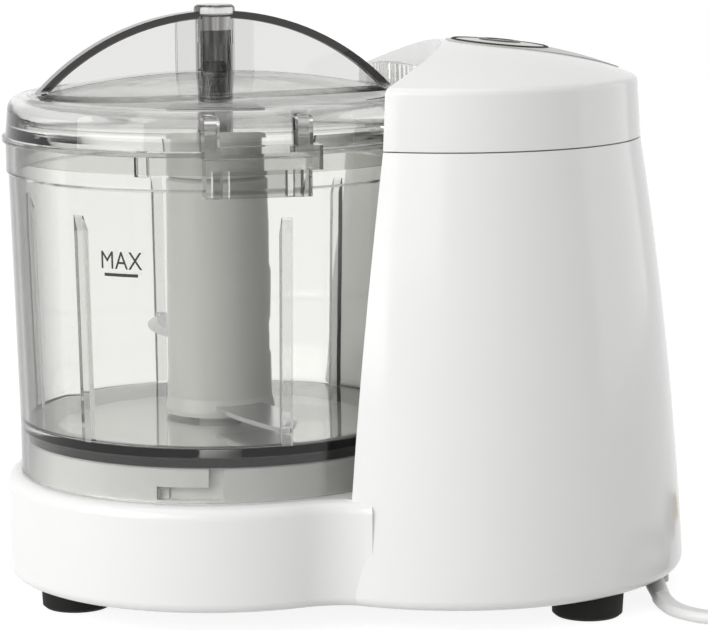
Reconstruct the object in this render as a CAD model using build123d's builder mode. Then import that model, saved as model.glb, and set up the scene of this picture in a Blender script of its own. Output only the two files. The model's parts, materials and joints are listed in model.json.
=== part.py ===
"""Mini food chopper: a clear bowl and lid on a round base, with its motor in a tower beside them.

Millimetres, +Z up. The origin is on the surface that the feet stand on, under the middle of the
machine. The bowl's axis and the tower's axis both cross Y = 0, the bowl on the -X side; -Y is the front.
"""
from build123d import *
import os
from math import acos, asin, atan2, cos, degrees, pi, radians, sin, sqrt, tan

os.makedirs("parts", exist_ok=True)

# ---------------------------------------------------------------- driving dimensions
# Plan
lobe_r = 56.6              # base under the bowl
recess_gap = 2.6           # from the base's round out to the hollow of the tower that wraps the bowl
tower_foot_r = 61.0        # tower at its foot
tower_mid_r = 56.5         # tower at half height: its side swells outward
tower_seam_r = 48.9        # tower where the cap meets it
tower_lead = 3.8           # tower axis beyond the hollow's edge
waist_r = 21.0             # concave waist between base and tower
# Heights
base_z = 6.5               # underside of the housing, so the feet show below it
base_h = 27.3              # flat top of the base above the housing's underside
boss_h = 9.1               # raised boss that carries the bowl
ring_h = 2.4               # black ring between the boss and the bowl's floor
bowl_h = 75.5              # bowl from the underside of its floor to its rim
seam_drop = 0.4            # joint between tower and cap, below the bowl's rim
cap_h = 25.2               # cap from that joint to the top of its dome
cap_top_r = 48.0
dome_r = 125.0
# Mouldings
wall = 2.2
seam_gap = 0.35            # shadow line round a joint
seat = 0.03                # clearance of pieces that seat in each other
slip = 0.15                # clearance of pieces that slide in by hand
run = 0.05                 # radial running clearance of shafts
# Bowl
boss_step = 6.2            # base's round beyond the boss
skirt_gap = 0.4            # bowl skirt over the boss
skirt_t = 2.0              # thickness of that skirt
skirt_lift = 0.3           # its lower edge above the base
bowl_wall = 2.0
bowl_flare = 1.6           # bowl's top wider than its foot
rim_step = 0.6             # rim wider than the wall under it
rim_band = 8.4             # height of the rim
floor_t = 2.0
bayonet_turn = 15.0        # degrees from locked to free
neck_gap = 0.6             # chimney of the bowl's floor round the housing's neck
chimney_wall = 1.8
chimney_h = 20.5
# Grip, on the front of the bowl and the lid
grip_angle = 8.5           # to the right of the front
grip_out = 3.5             # grip's face beyond the lid's flange
grip_half = 13.2
apron_h = 9.5
# Lid
flange_step = 0.9          # lid's flange beyond the rim
lid_flange_t = 1.2
shoulder_h = 8.0           # side of the lid, up to its rounding
lid_rim_h = 12.0
lid_plate_drop = 0.3       # edge of the lid's plate below its rim
lid_plate_rise = 5.6       # rise of the plate to its middle
lid_plate_t = 2.0
spigot_depth = 4.5
arch_inset = 8.0           # ends of the arch, inside the lid's side
arch_h = 20.8
flange_w = 6.0
flange_t = 1.9
fin_t = 1.8
# Drive
spindle_r = 3.0
bush_wall = 1.4
gear_module = 1.0
spindle_teeth = 64
pinion_teeth = 14
gear_face = 7.0
gear_lift = 4.0            # underside of the gears above the base plate
motor_reach = 25.0         # motor axis beyond the tower axis, to the nearest tooth of the idler
motor_r = 21.0
motor_len = 58.0
motor_lift = 2.9           # motor's flange above the top of the base
hex_wall = 2.0             # of the drive hexagon, over the spindle
hub_r = 13.6
blade_t = 1.2
# Feet
foot_r = 8.0
# Button
button_r = 11.9
panel_border = 2.3         # grey panel beyond the button
panel_edge = 1.6           # white edge left between the panel and the hollow
button_travel = 2.5
interlock_travel = 2.5
interlock_side = 30.932    # interlock behind the plane of the two axes, where the hollow is
# Cord
cord_r = 1.8
coil_mid_r = 30.6
coil_pitch = 5.8
coil_layer = 3.6

# ---------------------------------------------------------------- worked out from them
plate_t = 2.5
plate_top = base_z + plate_t
lobe_top = base_z + base_h
boss_top = lobe_top + boss_h
floor_z = boss_top + ring_h + 0.2          # underside of the bowl's floor
floor_top = floor_z + floor_t
rim_top = floor_z + bowl_h
rim_under_z = rim_top - rim_band
seam_z = rim_top - seam_drop
dome_top = seam_z + cap_h
dome_centre_z = dome_top - dome_r
skirt_z = lobe_top + skirt_lift
apron_z = rim_top - apron_h

recess_r = lobe_r + recess_gap
axis_gap = recess_r + tower_lead           # bowl axis to tower axis
interlock_angle = degrees(asin(interlock_side / recess_r))      # round the bowl axis, from the tower side
bowl_x = (lobe_r - (axis_gap + tower_foot_r)) / 2
tower_x = bowl_x + axis_gap
boss_r = lobe_r - boss_step
bowl_foot_r = boss_r + skirt_gap + skirt_t
bowl_top_r = bowl_foot_r + bowl_flare
bowl_rim_r = bowl_top_r + rim_step
lid_side_r = bowl_rim_r
lid_flange_r = bowl_rim_r + flange_step
grip_reach = lid_flange_r + grip_out       # from the bowl axis to the grip's face

lid_shoulder_z = rim_top + shoulder_h
lid_rim_z = rim_top + lid_rim_h
lid_plate_z = lid_rim_z - lid_plate_drop
arch_foot = lid_rim_z + 0.4
arch_top = arch_foot + arch_h
arch_half = lid_side_r - arch_inset

bush_r = spindle_r + bush_wall
neck_r = bush_r + 1.2                      # tube that carries the spindle up inside the bowl's chimney
chimney_r = neck_r + neck_gap + chimney_wall
chimney_top = floor_z + chimney_h
neck_top = chimney_top - 4.0
hex_flats = 2 * (spindle_r + hex_wall)
hub_top = rim_top - 9.0

gear_z = plate_top + gear_lift
idler_teeth = round((axis_gap + motor_reach) / gear_module - (spindle_teeth + pinion_teeth) / 2)
spindle_pitch_r = gear_module * spindle_teeth / 2
idler_pitch_r = gear_module * idler_teeth / 2
pinion_pitch_r = gear_module * pinion_teeth / 2
idler_x = bowl_x + spindle_pitch_r + idler_pitch_r
motor_x = idler_x + idler_pitch_r + pinion_pitch_r
motor_z = lobe_top + motor_lift            # underside of the motor's flange

panel_r = button_r + panel_border
button_from_axis = panel_r + panel_edge - tower_lead       # button centre, to the right of the tower axis
button_x = tower_x + button_from_axis

bowl_section = Plane(origin=(bowl_x, 0, 0), x_dir=(1, 0, 0), z_dir=(0, -1, 0))
tower_section = Plane(origin=(tower_x, 0, 0), x_dir=(1, 0, 0), z_dir=(0, -1, 0))
bowl_axis = Axis((bowl_x, 0, 0), (0, 0, 1))
tower_axis = Axis((tower_x, 0, 0), (0, 0, 1))


def level(x, y, z, turn=0.0):
    """A horizontal plane at a point, its own X axis turned from the row's by some degrees."""
    return Plane(origin=(x, y, z), x_dir=(cos(radians(turn)), sin(radians(turn)), 0), z_dir=(0, 0, 1))


def upright(x, y, turn):
    """A vertical plane through a point, its own X axis at some degrees from the row's, its Y up."""
    a = radians(turn)
    return Plane(origin=(x, y, 0), x_dir=(cos(a), sin(a), 0), z_dir=(sin(a), -cos(a), 0))


def around(x, y, r, angle):
    """The point at a radius and an angle in degrees round (x, y)."""
    return (x + r * cos(radians(angle)), y + r * sin(radians(angle)))


def save(piece, name):
    """Label a finished piece and write it under its node's name."""
    piece.part.label = name
    export_step(piece.part, f"parts/{name}.step")


def disc(x, y, r, z0, z1):
    """A plain round solid between two heights."""
    with BuildPart() as piece:
        with BuildSketch(level(x, y, z0)):
            Circle(r)
        extrude(amount=z1 - z0)
    return piece.part


def ring_sector(x, y, r0, r1, z0, z1, a0, a1):
    """Part of a ring round (x, y), from angle a0 to angle a1."""
    with BuildPart() as piece:
        with BuildSketch(upright(x, y, a0)):
            with Locations(((r0 + r1) / 2, (z0 + z1) / 2)):
                Rectangle(r1 - r0, z1 - z0)
        revolve(axis=Axis((x, y, 0), (0, 0, 1)), revolution_arc=a1 - a0)
    return piece.part


# ---------------------------------------------------------------- housing: base lobe and tower
waist_sink = 0.8           # depth that the waist's end runs into the tower's foot
waist_reach = tower_foot_r + waist_r - waist_sink
waist_x = ((lobe_r + waist_r) ** 2 - waist_reach ** 2 + axis_gap ** 2) / (2 * axis_gap)
waist_y = sqrt((lobe_r + waist_r) ** 2 - waist_x ** 2)


def lobe_outline(inset):
    """Plan of the base under the bowl with its concave waists, pulled in by inset."""
    r, w = lobe_r - inset, waist_r + inset
    share = r / (lobe_r + waist_r)
    start = (waist_x * share, waist_y * share)
    middle = (waist_x, waist_y - w)
    end = (waist_x + w * (axis_gap - waist_x) / waist_reach, waist_y - w * waist_y / waist_reach)
    with BuildSketch(level(bowl_x, 0, base_z)) as outline:
        with BuildLine():
            ThreePointArc((start[0], -start[1]), (-r, 0), start)
            ThreePointArc(start, middle, end)
            Line(end, (end[0], -end[1]))
            ThreePointArc((end[0], -end[1]), (middle[0], -middle[1]), (start[0], -start[1]))
        make_face()
    return outline.sketch


def tower_half(inset, foot_round=0.0):
    """Half section of the tower, from its axis to its swelling side, pulled in by inset."""
    foot, side, top = tower_foot_r - inset, tower_mid_r - inset, tower_seam_r - inset
    with BuildSketch(tower_section) as half:
        with BuildLine():
            Line((0, base_z), (foot, base_z))
            ThreePointArc((foot, base_z), (side, (base_z + seam_z) / 2), (top, seam_z))
            Line((top, seam_z), (0, seam_z))
            Line((0, seam_z), (0, base_z))
        make_face()
        if foot_round:
            fillet(half.vertices().group_by(Axis.Y)[0].sort_by(Axis.X)[-1], foot_round)
    return half.sketch


shoulder = 3.4             # rounding of the base's top edge
foot_round = 2.6           # rounding of the housing's bottom edge

with BuildPart() as lobe:
    extrude(lobe_outline(0), amount=lobe_top - base_z)
    curved = lobe.edges().filter_by(GeomType.CIRCLE)
    fillet(curved.group_by(Axis.Z)[-1], shoulder)
    fillet(lobe.edges().filter_by(GeomType.CIRCLE).group_by(Axis.Z)[0], foot_round)

with BuildPart() as tower:
    revolve(tower_half(0, foot_round), axis=tower_axis)
    add(disc(bowl_x, 0, recess_r, lobe_top, seam_z + 5), mode=Mode.SUBTRACT)

with BuildPart() as housing_hollow:
    revolve(tower_half(wall), axis=tower_axis)
    add(disc(bowl_x, 0, recess_r + wall, lobe_top - wall, seam_z + 5), mode=Mode.SUBTRACT)
    extrude(lobe_outline(wall), amount=lobe_top - wall - base_z)

boss_wall = 4.4
bush_len = 10.0
tower_screw_angle = 85.0
lobe_screws = [around(bowl_x, 0, lobe_r - 9.0, a) for a in (100, 180, 260)]
tower_screws = [around(tower_x, 0, tower_foot_r - 7.4, a) for a in (-tower_screw_angle, tower_screw_angle)]
base_screw_points = lobe_screws + tower_screws
pillar_r = 3.6
pilot_r = 1.1
lug_angle = 62.0           # of the two lugs that the cap is screwed to
lug_points = [around(tower_x, 0, tower_seam_r - 6.9, a) for a in (-lug_angle, lug_angle)]
lug_top = seam_z - 3.4
lug_t = 3.0
bracket_t = 1.9
groove_z0 = lobe_top + 0.7
groove_z1 = groove_z0 + 3.4
groove_depth = 2.2
lug_w = 2.8                # bayonet lug of the bowl
lug_angle_rest = -107.9    # its angle when locked
lug_count = 3
bayonet_angles = [lug_angle_rest + 360 / lug_count * i for i in range(lug_count)]

with BuildPart() as boss:
    with BuildSketch(level(bowl_x, 0, lobe_top - 0.5)):
        Circle(boss_r)
    extrude(amount=boss_top - lobe_top + 0.5)
    chamfer(boss.edges().group_by(Axis.Z)[-1], 0.6)
    with BuildSketch(level(bowl_x, 0, lobe_top - wall)):
        Circle(boss_r - boss_wall)
    extrude(amount=boss_top - wall - (lobe_top - wall), mode=Mode.SUBTRACT)
    half_lug = degrees(lug_w / 2 / boss_r) + 0.5
    for angle in bayonet_angles:
        add(ring_sector(bowl_x, 0, boss_r - groove_depth, boss_r + 2, groove_z0, groove_z1,
                        angle - half_lug, angle + bayonet_turn + half_lug), mode=Mode.SUBTRACT)
        add(ring_sector(bowl_x, 0, boss_r - groove_depth, boss_r + 2, groove_z0, boss_top + 2,
                        angle + bayonet_turn - half_lug, angle + bayonet_turn + half_lug),
            mode=Mode.SUBTRACT)

relief_x = tower_x + tower_foot_r - 10.4   # where the mains lead comes out, under the tower's right side
relief_y = -12.0

with BuildPart() as upper_housing:
    add(lobe.part)
    add(tower.part)
    add(housing_hollow.part, mode=Mode.SUBTRACT)
    add(boss.part)
    # the ceiling of the base is open under the boss, which is hollow too
    add(disc(bowl_x, 0, boss_r - boss_wall, lobe_top - wall - 0.1, boss_top - wall), mode=Mode.SUBTRACT)
    # neck for the spindle, from inside the base up through the boss
    add(disc(bowl_x, 0, neck_r + 2.2, lobe_top - 6, boss_top - 1))
    add(disc(bowl_x, 0, neck_r, boss_top - 1, neck_top))
    for x, y in base_screw_points:
        add(disc(x, y, pillar_r, plate_top + 0.1, lobe_top - wall + 0.5))
    for angle in (-tower_screw_angle, tower_screw_angle):
        add(ring_sector(tower_x, 0, tower_foot_r - 6.5, tower_foot_r - wall + 0.3, plate_top + 0.1, lobe_top,
                        angle - 1.2, angle + 1.2))
    for angle in (-lug_angle, lug_angle):
        add(ring_sector(tower_x, 0, tower_seam_r - 10.9, tower_seam_r - wall + 1.4, lug_top - lug_t, lug_top,
                        angle - 6, angle + 6))
    add(disc(bowl_x, 0, spindle_r + 0.6, lobe_top - 7, neck_top + 1), mode=Mode.SUBTRACT)
    add(disc(bowl_x, 0, bush_r + seat, neck_top - bush_len, neck_top + 1), mode=Mode.SUBTRACT)
    for x, y in base_screw_points:
        add(disc(x, y, pilot_r, plate_top, plate_top + 12), mode=Mode.SUBTRACT)
    for x, y in lug_points:
        add(disc(x, y, 1.7, lug_top - lug_t - 1, lug_top + 1), mode=Mode.SUBTRACT)
save(upper_housing, "upper_housing")


# ---------------------------------------------------------------- base plate, feet and fasteners
near_post, far_post = (-18.0, motor_r + 12.0), (10.0, motor_r + 6.0)       # from the motor's axis
post_points = [(motor_x + x, side * y) for x, y in (near_post, far_post) for side in (-1, 1)]
post_r = 3.4
bracket_z = motor_z - 2.5
lobe_feet = [around(bowl_x, 0, lobe_r - 15.9, a) for a in (-155.3, 155.3)]
tower_feet = [around(tower_x, 0, tower_foot_r - 13.0, a) for a in (-54.3, 54.3)]
foot_points = lobe_feet + tower_feet
foot_neck_r = 3.2
head_r = 2.7
head_h = 1.6
bearing_boss_r = bush_r + 2.6
bearing_top = gear_z - 0.6
bearing_floor = 1.2        # left under the bearings in the plate
idler_pin_r = 2.0
outlet_w = 11.0            # saddle under the plate that the mains lead comes out of
outlet_len = 14.0
outlet_z = 1.4

with BuildPart() as base_plate:
    extrude(lobe_outline(wall + slip), amount=plate_t)
    with BuildSketch(level(tower_x, 0, base_z)):
        Circle(tower_foot_r - wall - slip - 0.15)
    extrude(amount=plate_t)
    for x, y in post_points:
        add(disc(x, y, post_r, plate_top - 0.5, bracket_z))
    add(disc(bowl_x, 0, bearing_boss_r, plate_top - 0.5, bearing_top))
    add(disc(idler_x, 0, idler_pin_r + 2.6, plate_top - 0.5, bearing_top))
    # saddle for the lead, under the plate
    with BuildSketch(level(relief_x, relief_y + outlet_len / 2 - 2, outlet_z)):
        RectangleRounded(outlet_w, outlet_len, 2)
    extrude(amount=base_z - outlet_z + 0.5)
    add(disc(bowl_x, 0, bush_r + seat, base_z + bearing_floor, bearing_top + 1), mode=Mode.SUBTRACT)
    add(disc(idler_x, 0, idler_pin_r + seat, base_z + bearing_floor, bearing_top + 1), mode=Mode.SUBTRACT)
    for x, y in foot_points:
        add(disc(x, y, foot_neck_r + seat, base_z - 1, plate_top + 1), mode=Mode.SUBTRACT)
    for x, y in base_screw_points:
        add(disc(x, y, 1.7, base_z - 1, plate_top + 1), mode=Mode.SUBTRACT)
        add(disc(x, y, head_r + 0.3, base_z - 1, base_z + head_h), mode=Mode.SUBTRACT)
    for x, y in post_points:
        add(disc(x, y, pilot_r, bracket_z - 12, bracket_z + 1), mode=Mode.SUBTRACT)
    # cooling slots under the motor
    for offset in (-12, -6, 0, 6, 12):
        with BuildSketch(level(motor_x - 2, offset, base_z - 1)):
            SlotOverall(18, 2.6)
        extrude(amount=plate_t + 2, mode=Mode.SUBTRACT)
    # way for the lead: along the saddle, then up through the plate
    with BuildSketch(upright(relief_x, relief_y - outlet_len, 0)):
        with Locations((0, outlet_z + 3.0)):
            Ellipse(3.1, 2.2)
    extrude(amount=-outlet_len * 1.3, mode=Mode.SUBTRACT)
    add(disc(relief_x, relief_y + 4, 2.4, outlet_z + 2, plate_top + 1), mode=Mode.SUBTRACT)
save(base_plate, "base_plate")

with BuildPart() as rubber_feet:
    for x, y in foot_points:
        with BuildSketch(level(x, y, base_z)):
            Circle(foot_r)
        extrude(amount=-base_z, taper=5)
        add(disc(x, y, foot_neck_r, base_z, plate_top + 0.1))
        add(disc(x, y, foot_neck_r + 1.2, plate_top + 0.1, plate_top + 1.3))
save(rubber_feet, "rubber_feet")


def screw(x, y, z, length, up=1):
    """Pan head screw whose head bears at height z, its shank pointing up (or down with up=-1)."""
    with BuildPart() as piece:
        with BuildSketch(level(x, y, z)):
            Circle(head_r)
            RectangleRounded(head_r * 1.1, 0.7, 0.3, mode=Mode.SUBTRACT)
        extrude(amount=-head_h * up)
        add(disc(x, y, head_r, z - 0.7 * up if up > 0 else z, z if up > 0 else z + 0.7))
        low, high = (z, z + length) if up > 0 else (z - length, z)
        add(disc(x, y, pilot_r - seat, low, high))
    return piece.part


with BuildPart() as base_screws:
    for x, y in base_screw_points:
        add(screw(x, y, base_z + head_h, 11.0))
save(base_screws, "base_screws")

# ---------------------------------------------------------------- gear train
pressure = radians(25)     # a wide pressure angle keeps the small pinion strong
backlash = 0.14


def gear_outline(teeth, x, phase, z, bore_r):
    """A spur gear's plan: involute flanks drawn as short chords, tooth 0 centred at the phase."""
    pitch = gear_module * teeth / 2
    base = pitch * cos(pressure)
    tip, root = pitch + 0.92 * gear_module, pitch - 1.15 * gear_module
    half = (pi * gear_module / 2 - backlash) / 2 / pitch + tan(pressure) - pressure

    def flank(r):
        a = acos(min(1.0, base / r))
        return half - (tan(a) - a)

    radii = [root, max(base, root) + 0.02, pitch, tip]
    points = []
    for tooth in range(teeth):
        middle = 2 * pi * tooth / teeth
        side = [(r, flank(max(r, base))) for r in radii]
        for r, a in side:
            points.append((r * cos(middle - a), r * sin(middle - a)))
        for r, a in reversed(side):
            points.append((r * cos(middle + a), r * sin(middle + a)))
    with BuildSketch(level(x, 0, z, phase)) as outline:
        with BuildLine():
            Polyline(*points, close=True)
        make_face()
        Circle(bore_r, mode=Mode.SUBTRACT)
    return outline.sketch


idler_phase = 180 + 180 / idler_teeth      # a gap of the idler faces a tooth of the spindle gear
pinion_phase = 180 + 180 / pinion_teeth * (idler_teeth % 2)      # the idler shows it a tooth or a gap
web_t = 3.0
web_rim = 4.0


def lighten(x, r_out, r_in, holes):
    """Ring pockets in both faces of a gear and a circle of holes through its web."""
    for z0, z1 in ((gear_z - 1, gear_z + (gear_face - web_t) / 2),
                   (gear_z + (gear_face + web_t) / 2, gear_z + gear_face + 1)):
        yield ring_sector(x, 0, r_in, r_out, z0, z1, 0, 360)
    for i in range(holes):
        hx, hy = around(x, 0, (r_in + r_out) / 2, 360 / holes * (i + 0.5))
        yield disc(hx, hy, (r_out - r_in) * 0.3, gear_z - 1, gear_z + gear_face + 1)


hub_collar_r = spindle_r + 4.0
collar_top = gear_z + gear_face + 3.0
with BuildPart() as spindle_gear:
    extrude(gear_outline(spindle_teeth, bowl_x, 0, gear_z, spindle_r + seat), amount=gear_face)
    for pocket in lighten(bowl_x, spindle_pitch_r - web_rim, hub_collar_r + 1.5, 6):
        add(pocket, mode=Mode.SUBTRACT)
    add(ring_sector(bowl_x, 0, spindle_r + seat, hub_collar_r, gear_z, collar_top, 0, 360))
save(spindle_gear, "spindle_gear")

with BuildPart() as idler_gear:
    extrude(gear_outline(idler_teeth, idler_x, idler_phase, gear_z, idler_pin_r + run), amount=gear_face)
    for pocket in lighten(idler_x, idler_pitch_r - web_rim, hub_collar_r, 5):
        add(pocket, mode=Mode.SUBTRACT)
save(idler_gear, "idler_gear")

shaft_r = 2.0
with BuildPart() as motor_pinion:
    extrude(gear_outline(pinion_teeth, motor_x, pinion_phase, gear_z, shaft_r + seat), amount=gear_face + 4)
save(motor_pinion, "motor_pinion")

clip_t = 0.8
pin_top = gear_z + gear_face + 2.4
with BuildPart() as idler_pin:
    add(disc(idler_x, 0, idler_pin_r, base_z + bearing_floor + seat, pin_top))
    add(ring_sector(idler_x, 0, idler_pin_r - 0.5, idler_pin_r + 1, pin_top - 1.4, pin_top - 1.4 + clip_t,
                    0, 360), mode=Mode.SUBTRACT)
save(idler_pin, "idler_pin")

with BuildPart() as idler_clip:
    with BuildSketch(level(idler_x, 0, pin_top - 1.4 + seat)):
        Circle(idler_pin_r + 1.9)
        Circle(idler_pin_r - 0.5 + seat, mode=Mode.SUBTRACT)
        with Locations((idler_pin_r + 1, 0)):
            Rectangle(2 * idler_pin_r + 2, idler_pin_r, mode=Mode.SUBTRACT)
    extrude(amount=clip_t - 2 * seat)
save(idler_clip, "idler_clip")

# ---------------------------------------------------------------- spindle
spindle_foot = base_z + bearing_floor + 0.2
hex_z0, hex_z1 = chimney_top - 2.0, chimney_top + 18.0
with BuildPart() as spindle:
    add(disc(bowl_x, 0, spindle_r, spindle_foot, hex_z1 - 4))
    add(ring_sector(bowl_x, 0, spindle_r - 0.5, spindle_r + 1, collar_top + 0.1, collar_top + 0.1 + clip_t,
                    0, 360), mode=Mode.SUBTRACT)
save(spindle, "spindle")

with BuildPart() as spindle_clip:
    with BuildSketch(level(bowl_x, 0, collar_top + 0.1 + seat)):
        Circle(spindle_r + 2.2)
        Circle(spindle_r - 0.5 + seat, mode=Mode.SUBTRACT)
        with Locations((spindle_r + 1, 0)):
            Rectangle(2 * spindle_r + 2, spindle_r, mode=Mode.SUBTRACT)
    extrude(amount=clip_t - 2 * seat)
save(spindle_clip, "spindle_clip")

with BuildPart() as lower_bush:
    add(ring_sector(bowl_x, 0, spindle_r + run, bush_r, base_z + bearing_floor + seat, bearing_top, 0, 360))
save(lower_bush, "lower_bush")

with BuildPart() as upper_bush:
    add(ring_sector(bowl_x, 0, spindle_r + run, bush_r, neck_top - bush_len + seat, neck_top, 0, 360))
save(upper_bush, "upper_bush")

with BuildPart() as drive_hex:
    with BuildSketch(level(bowl_x, 0, hex_z0)):
        RegularPolygon(hex_flats / 2, 6, major_radius=False)
    extrude(amount=hex_z1 - hex_z0)
    chamfer(drive_hex.edges().group_by(Axis.Z)[-1], 1.2)
    add(disc(bowl_x, 0, spindle_r + seat, hex_z0 - 1, hex_z1 - 4 + seat), mode=Mode.SUBTRACT)
save(drive_hex, "drive_hex")

# ---------------------------------------------------------------- motor
motor_top = motor_z + motor_len
can_t = 1.2
bracket_reach = motor_r + 17.0
board_x, board_y = motor_x - 7.0, -bracket_reach
board_w = 26.0
screw_out = motor_r - 7.0  # motor's screws from its axis
shaft_foot = gear_z - 0.5
collar_r = 8.0
with BuildPart() as motor_bracket:
    with BuildSketch(level(motor_x, 0, bracket_z)):
        with Locations((-6, 0)):
            RectangleRounded(42, 2 * bracket_reach, 6)
        with Locations((board_x - motor_x, board_y)):
            RectangleRounded(board_w + 4, 8, 2)
        with Locations((tower_x - motor_x, 0)):
            Circle(tower_mid_r - wall - 1.0, mode=Mode.INTERSECT)
        with Locations((bowl_x - motor_x, 0)):
            Circle(recess_r + wall + 0.6, mode=Mode.SUBTRACT)
    extrude(amount=motor_z - bracket_z)
    add(disc(motor_x, 0, collar_r + 0.2, bracket_z - 1, motor_z + 1), mode=Mode.SUBTRACT)
    for x, y in post_points:
        add(disc(x, y, 1.7, bracket_z - 1, motor_z + 1), mode=Mode.SUBTRACT)
    for y in (-screw_out, screw_out):
        add(disc(motor_x, y, 1.7, bracket_z - 1, motor_z + 1), mode=Mode.SUBTRACT)
save(motor_bracket, "motor_bracket")

with BuildPart() as bracket_screws:
    for x, y in post_points:
        add(screw(x, y, motor_z, 9.0, up=-1))
save(bracket_screws, "bracket_screws")

with BuildPart() as motor_screws:
    for y in (-screw_out, screw_out):
        add(screw(motor_x, y, bracket_z, 5.0))
save(motor_screws, "motor_screws")

with BuildPart() as motor_can:
    with BuildSketch(level(motor_x, 0, motor_z)):
        Circle(motor_r)
    extrude(amount=motor_len)
    fillet(motor_can.edges().group_by(Axis.Z)[0], 2.0)
    add(disc(motor_x, 0, motor_r - can_t, motor_z + 4.0, motor_top + 1), mode=Mode.SUBTRACT)
    add(disc(motor_x, 0, collar_r, motor_z - 2.4, motor_z + 1))
    add(disc(motor_x, 0, shaft_r + run, motor_z - 5, motor_z + 5), mode=Mode.SUBTRACT)
    for y in (-screw_out, screw_out):
        add(disc(motor_x, y, pilot_r, motor_z - 1, motor_z + 3.4), mode=Mode.SUBTRACT)
save(motor_can, "motor_can")

magnet_t = 4.0
with BuildPart() as magnets:
    for angle in (-65, 115):
        add(ring_sector(motor_x, 0, motor_r - can_t - magnet_t, motor_r - can_t - seat, motor_z + 8,
                        motor_top - 14, angle, angle + 130))
save(magnets, "magnets")

armature_r = motor_r - can_t - magnet_t - 0.5
with BuildPart() as armature:
    with BuildSketch(level(motor_x, 0, motor_z + 10)):
        Circle(armature_r)
        with PolarLocations(armature_r - 2.2, 8):
            Rectangle(5.0, 2.2, mode=Mode.SUBTRACT)
        Circle(shaft_r + seat, mode=Mode.SUBTRACT)
    extrude(amount=motor_len - 28)
    add(ring_sector(motor_x, 0, shaft_r + seat, 6.0, motor_top - 18.5, motor_top - 5, 0, 360))
save(armature, "armature")

with BuildPart() as motor_shaft:
    add(disc(motor_x, 0, shaft_r, shaft_foot, motor_top + 3))
save(motor_shaft, "motor_shaft")

with BuildPart() as motor_end_cap:
    add(disc(motor_x, 0, motor_r - can_t - seat, motor_top - 3, motor_top))
    add(disc(motor_x, 0, motor_r, motor_top, motor_top + 2))
    add(disc(motor_x, 0, 7.0, motor_top + 1.5, motor_top + 5.5))
    add(disc(motor_x, 0, shaft_r + run, motor_top - 4, motor_top + 3.3), mode=Mode.SUBTRACT)
    for angle in (0, 90, 180, 270):
        add(ring_sector(motor_x, 0, 9.5, motor_r - 4.5, motor_top - 4, motor_top + 3, angle + 20, angle + 70),
            mode=Mode.SUBTRACT)
save(motor_end_cap, "motor_end_cap")

with BuildPart() as rectifier_board:
    with BuildSketch(level(board_x, board_y, motor_z)):
        Rectangle(board_w, 1.6)
    extrude(amount=24)
    for dx in (-8, -3, 2, 7):
        with BuildSketch(level(board_x + dx, board_y + 2.2, motor_z + 8)):
            Rectangle(3, 2.8)
        extrude(amount=7)
    with BuildSketch(upright(board_x - 6, board_y + 0.8, 0)):
        with Locations((0, motor_z + 19)):
            Circle(3.2)
    extrude(amount=-7)
save(rectifier_board, "rectifier_board")


# ---------------------------------------------------------------- cap on the tower
cap_wall = 2.6
cap_z = seam_z + seam_gap
spigot_r = tower_seam_r - wall - slip


def dome_half(lift, r):
    """Half section of everything under the dome raised by lift, out to radius r."""
    edge = dome_centre_z + sqrt((dome_r + lift) ** 2 - r ** 2)
    middle = dome_centre_z + sqrt((dome_r + lift) ** 2 - (r / 2) ** 2)
    with BuildSketch(tower_section) as half:
        with BuildLine():
            Polyline((0, dome_top + lift), (0, cap_z), (r, cap_z), (r, edge))
            ThreePointArc((r, edge), (r / 2, middle), (0, dome_top + lift))
        make_face()
    return half.sketch


def under_dome(lift, r=60.0):
    """The solid under the dome raised by lift."""
    with BuildPart() as piece:
        revolve(dome_half(lift, r), axis=tower_axis)
    return piece.part


def teardrop(inset, z):
    """Plan of the grey panel: round about the button, drawn out to a point on the right."""
    r = panel_r - inset
    tip = panel_tip - inset * 1.6
    with BuildSketch(level(tower_x, 0, z)) as outline:
        with BuildLine():
            ThreePointArc((button_from_axis + 2, r * 0.99), (button_from_axis - r, 0),
                          (button_from_axis + 2, -r * 0.99))
            ThreePointArc((button_from_axis + 2, -r * 0.99), (tip - 12.1 + inset * 0.6, -r * 0.66), (tip, 0))
            ThreePointArc((tip, 0), (tip - 12.1 + inset * 0.6, r * 0.66), (button_from_axis + 2, r * 0.99))
        make_face()
    return outline.sketch


panel_tip = cap_top_r - 4.4
panel_t = 1.0
panel_proud = 0.25
button_gap = 0.35

with BuildPart() as cap_shape:
    with BuildSketch(tower_section) as side:
        with BuildLine():
            edge = dome_centre_z + sqrt(dome_r ** 2 - cap_top_r ** 2)
            middle = dome_centre_z + sqrt(dome_r ** 2 - (cap_top_r / 2) ** 2)
            Polyline((0, dome_top), (0, cap_z), (tower_seam_r, cap_z), (cap_top_r, edge))
            ThreePointArc((cap_top_r, edge), (cap_top_r / 2, middle), (0, dome_top))
        make_face()
        fillet(side.vertices().filter_by_position(Axis.X, cap_top_r - 0.1, cap_top_r + 0.1), 2.0)
    revolve(axis=tower_axis)
    add(disc(bowl_x, 0, recess_r, seam_z - 1, dome_top + 5), mode=Mode.SUBTRACT)

with BuildPart() as cap_hollow:
    add(under_dome(-cap_wall, cap_top_r - wall))
    add(disc(bowl_x, 0, recess_r + wall, seam_z - 1, dome_top + 5), mode=Mode.SUBTRACT)

with BuildPart() as cap_spigot:
    add(ring_sector(tower_x, 0, spigot_r - 1.6, spigot_r, seam_z - 2.8, cap_z + 2.0, 0, 360))
    add(disc(bowl_x, 0, recess_r + wall + slip, seam_z - 5, dome_top), mode=Mode.SUBTRACT)

plunger_r = 2.4
plunger_z = rim_top + 7.0
button_top_lift = 0.3
button_base = dome_top - 6.8
button_stem_z = dome_top - 9.2
button_flange_r = button_r + 1.5

with BuildPart() as panel_pocket:
    extrude(teardrop(-0.12, dome_top - 12), amount=20)
    add(under_dome(-panel_t), mode=Mode.SUBTRACT)

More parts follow.
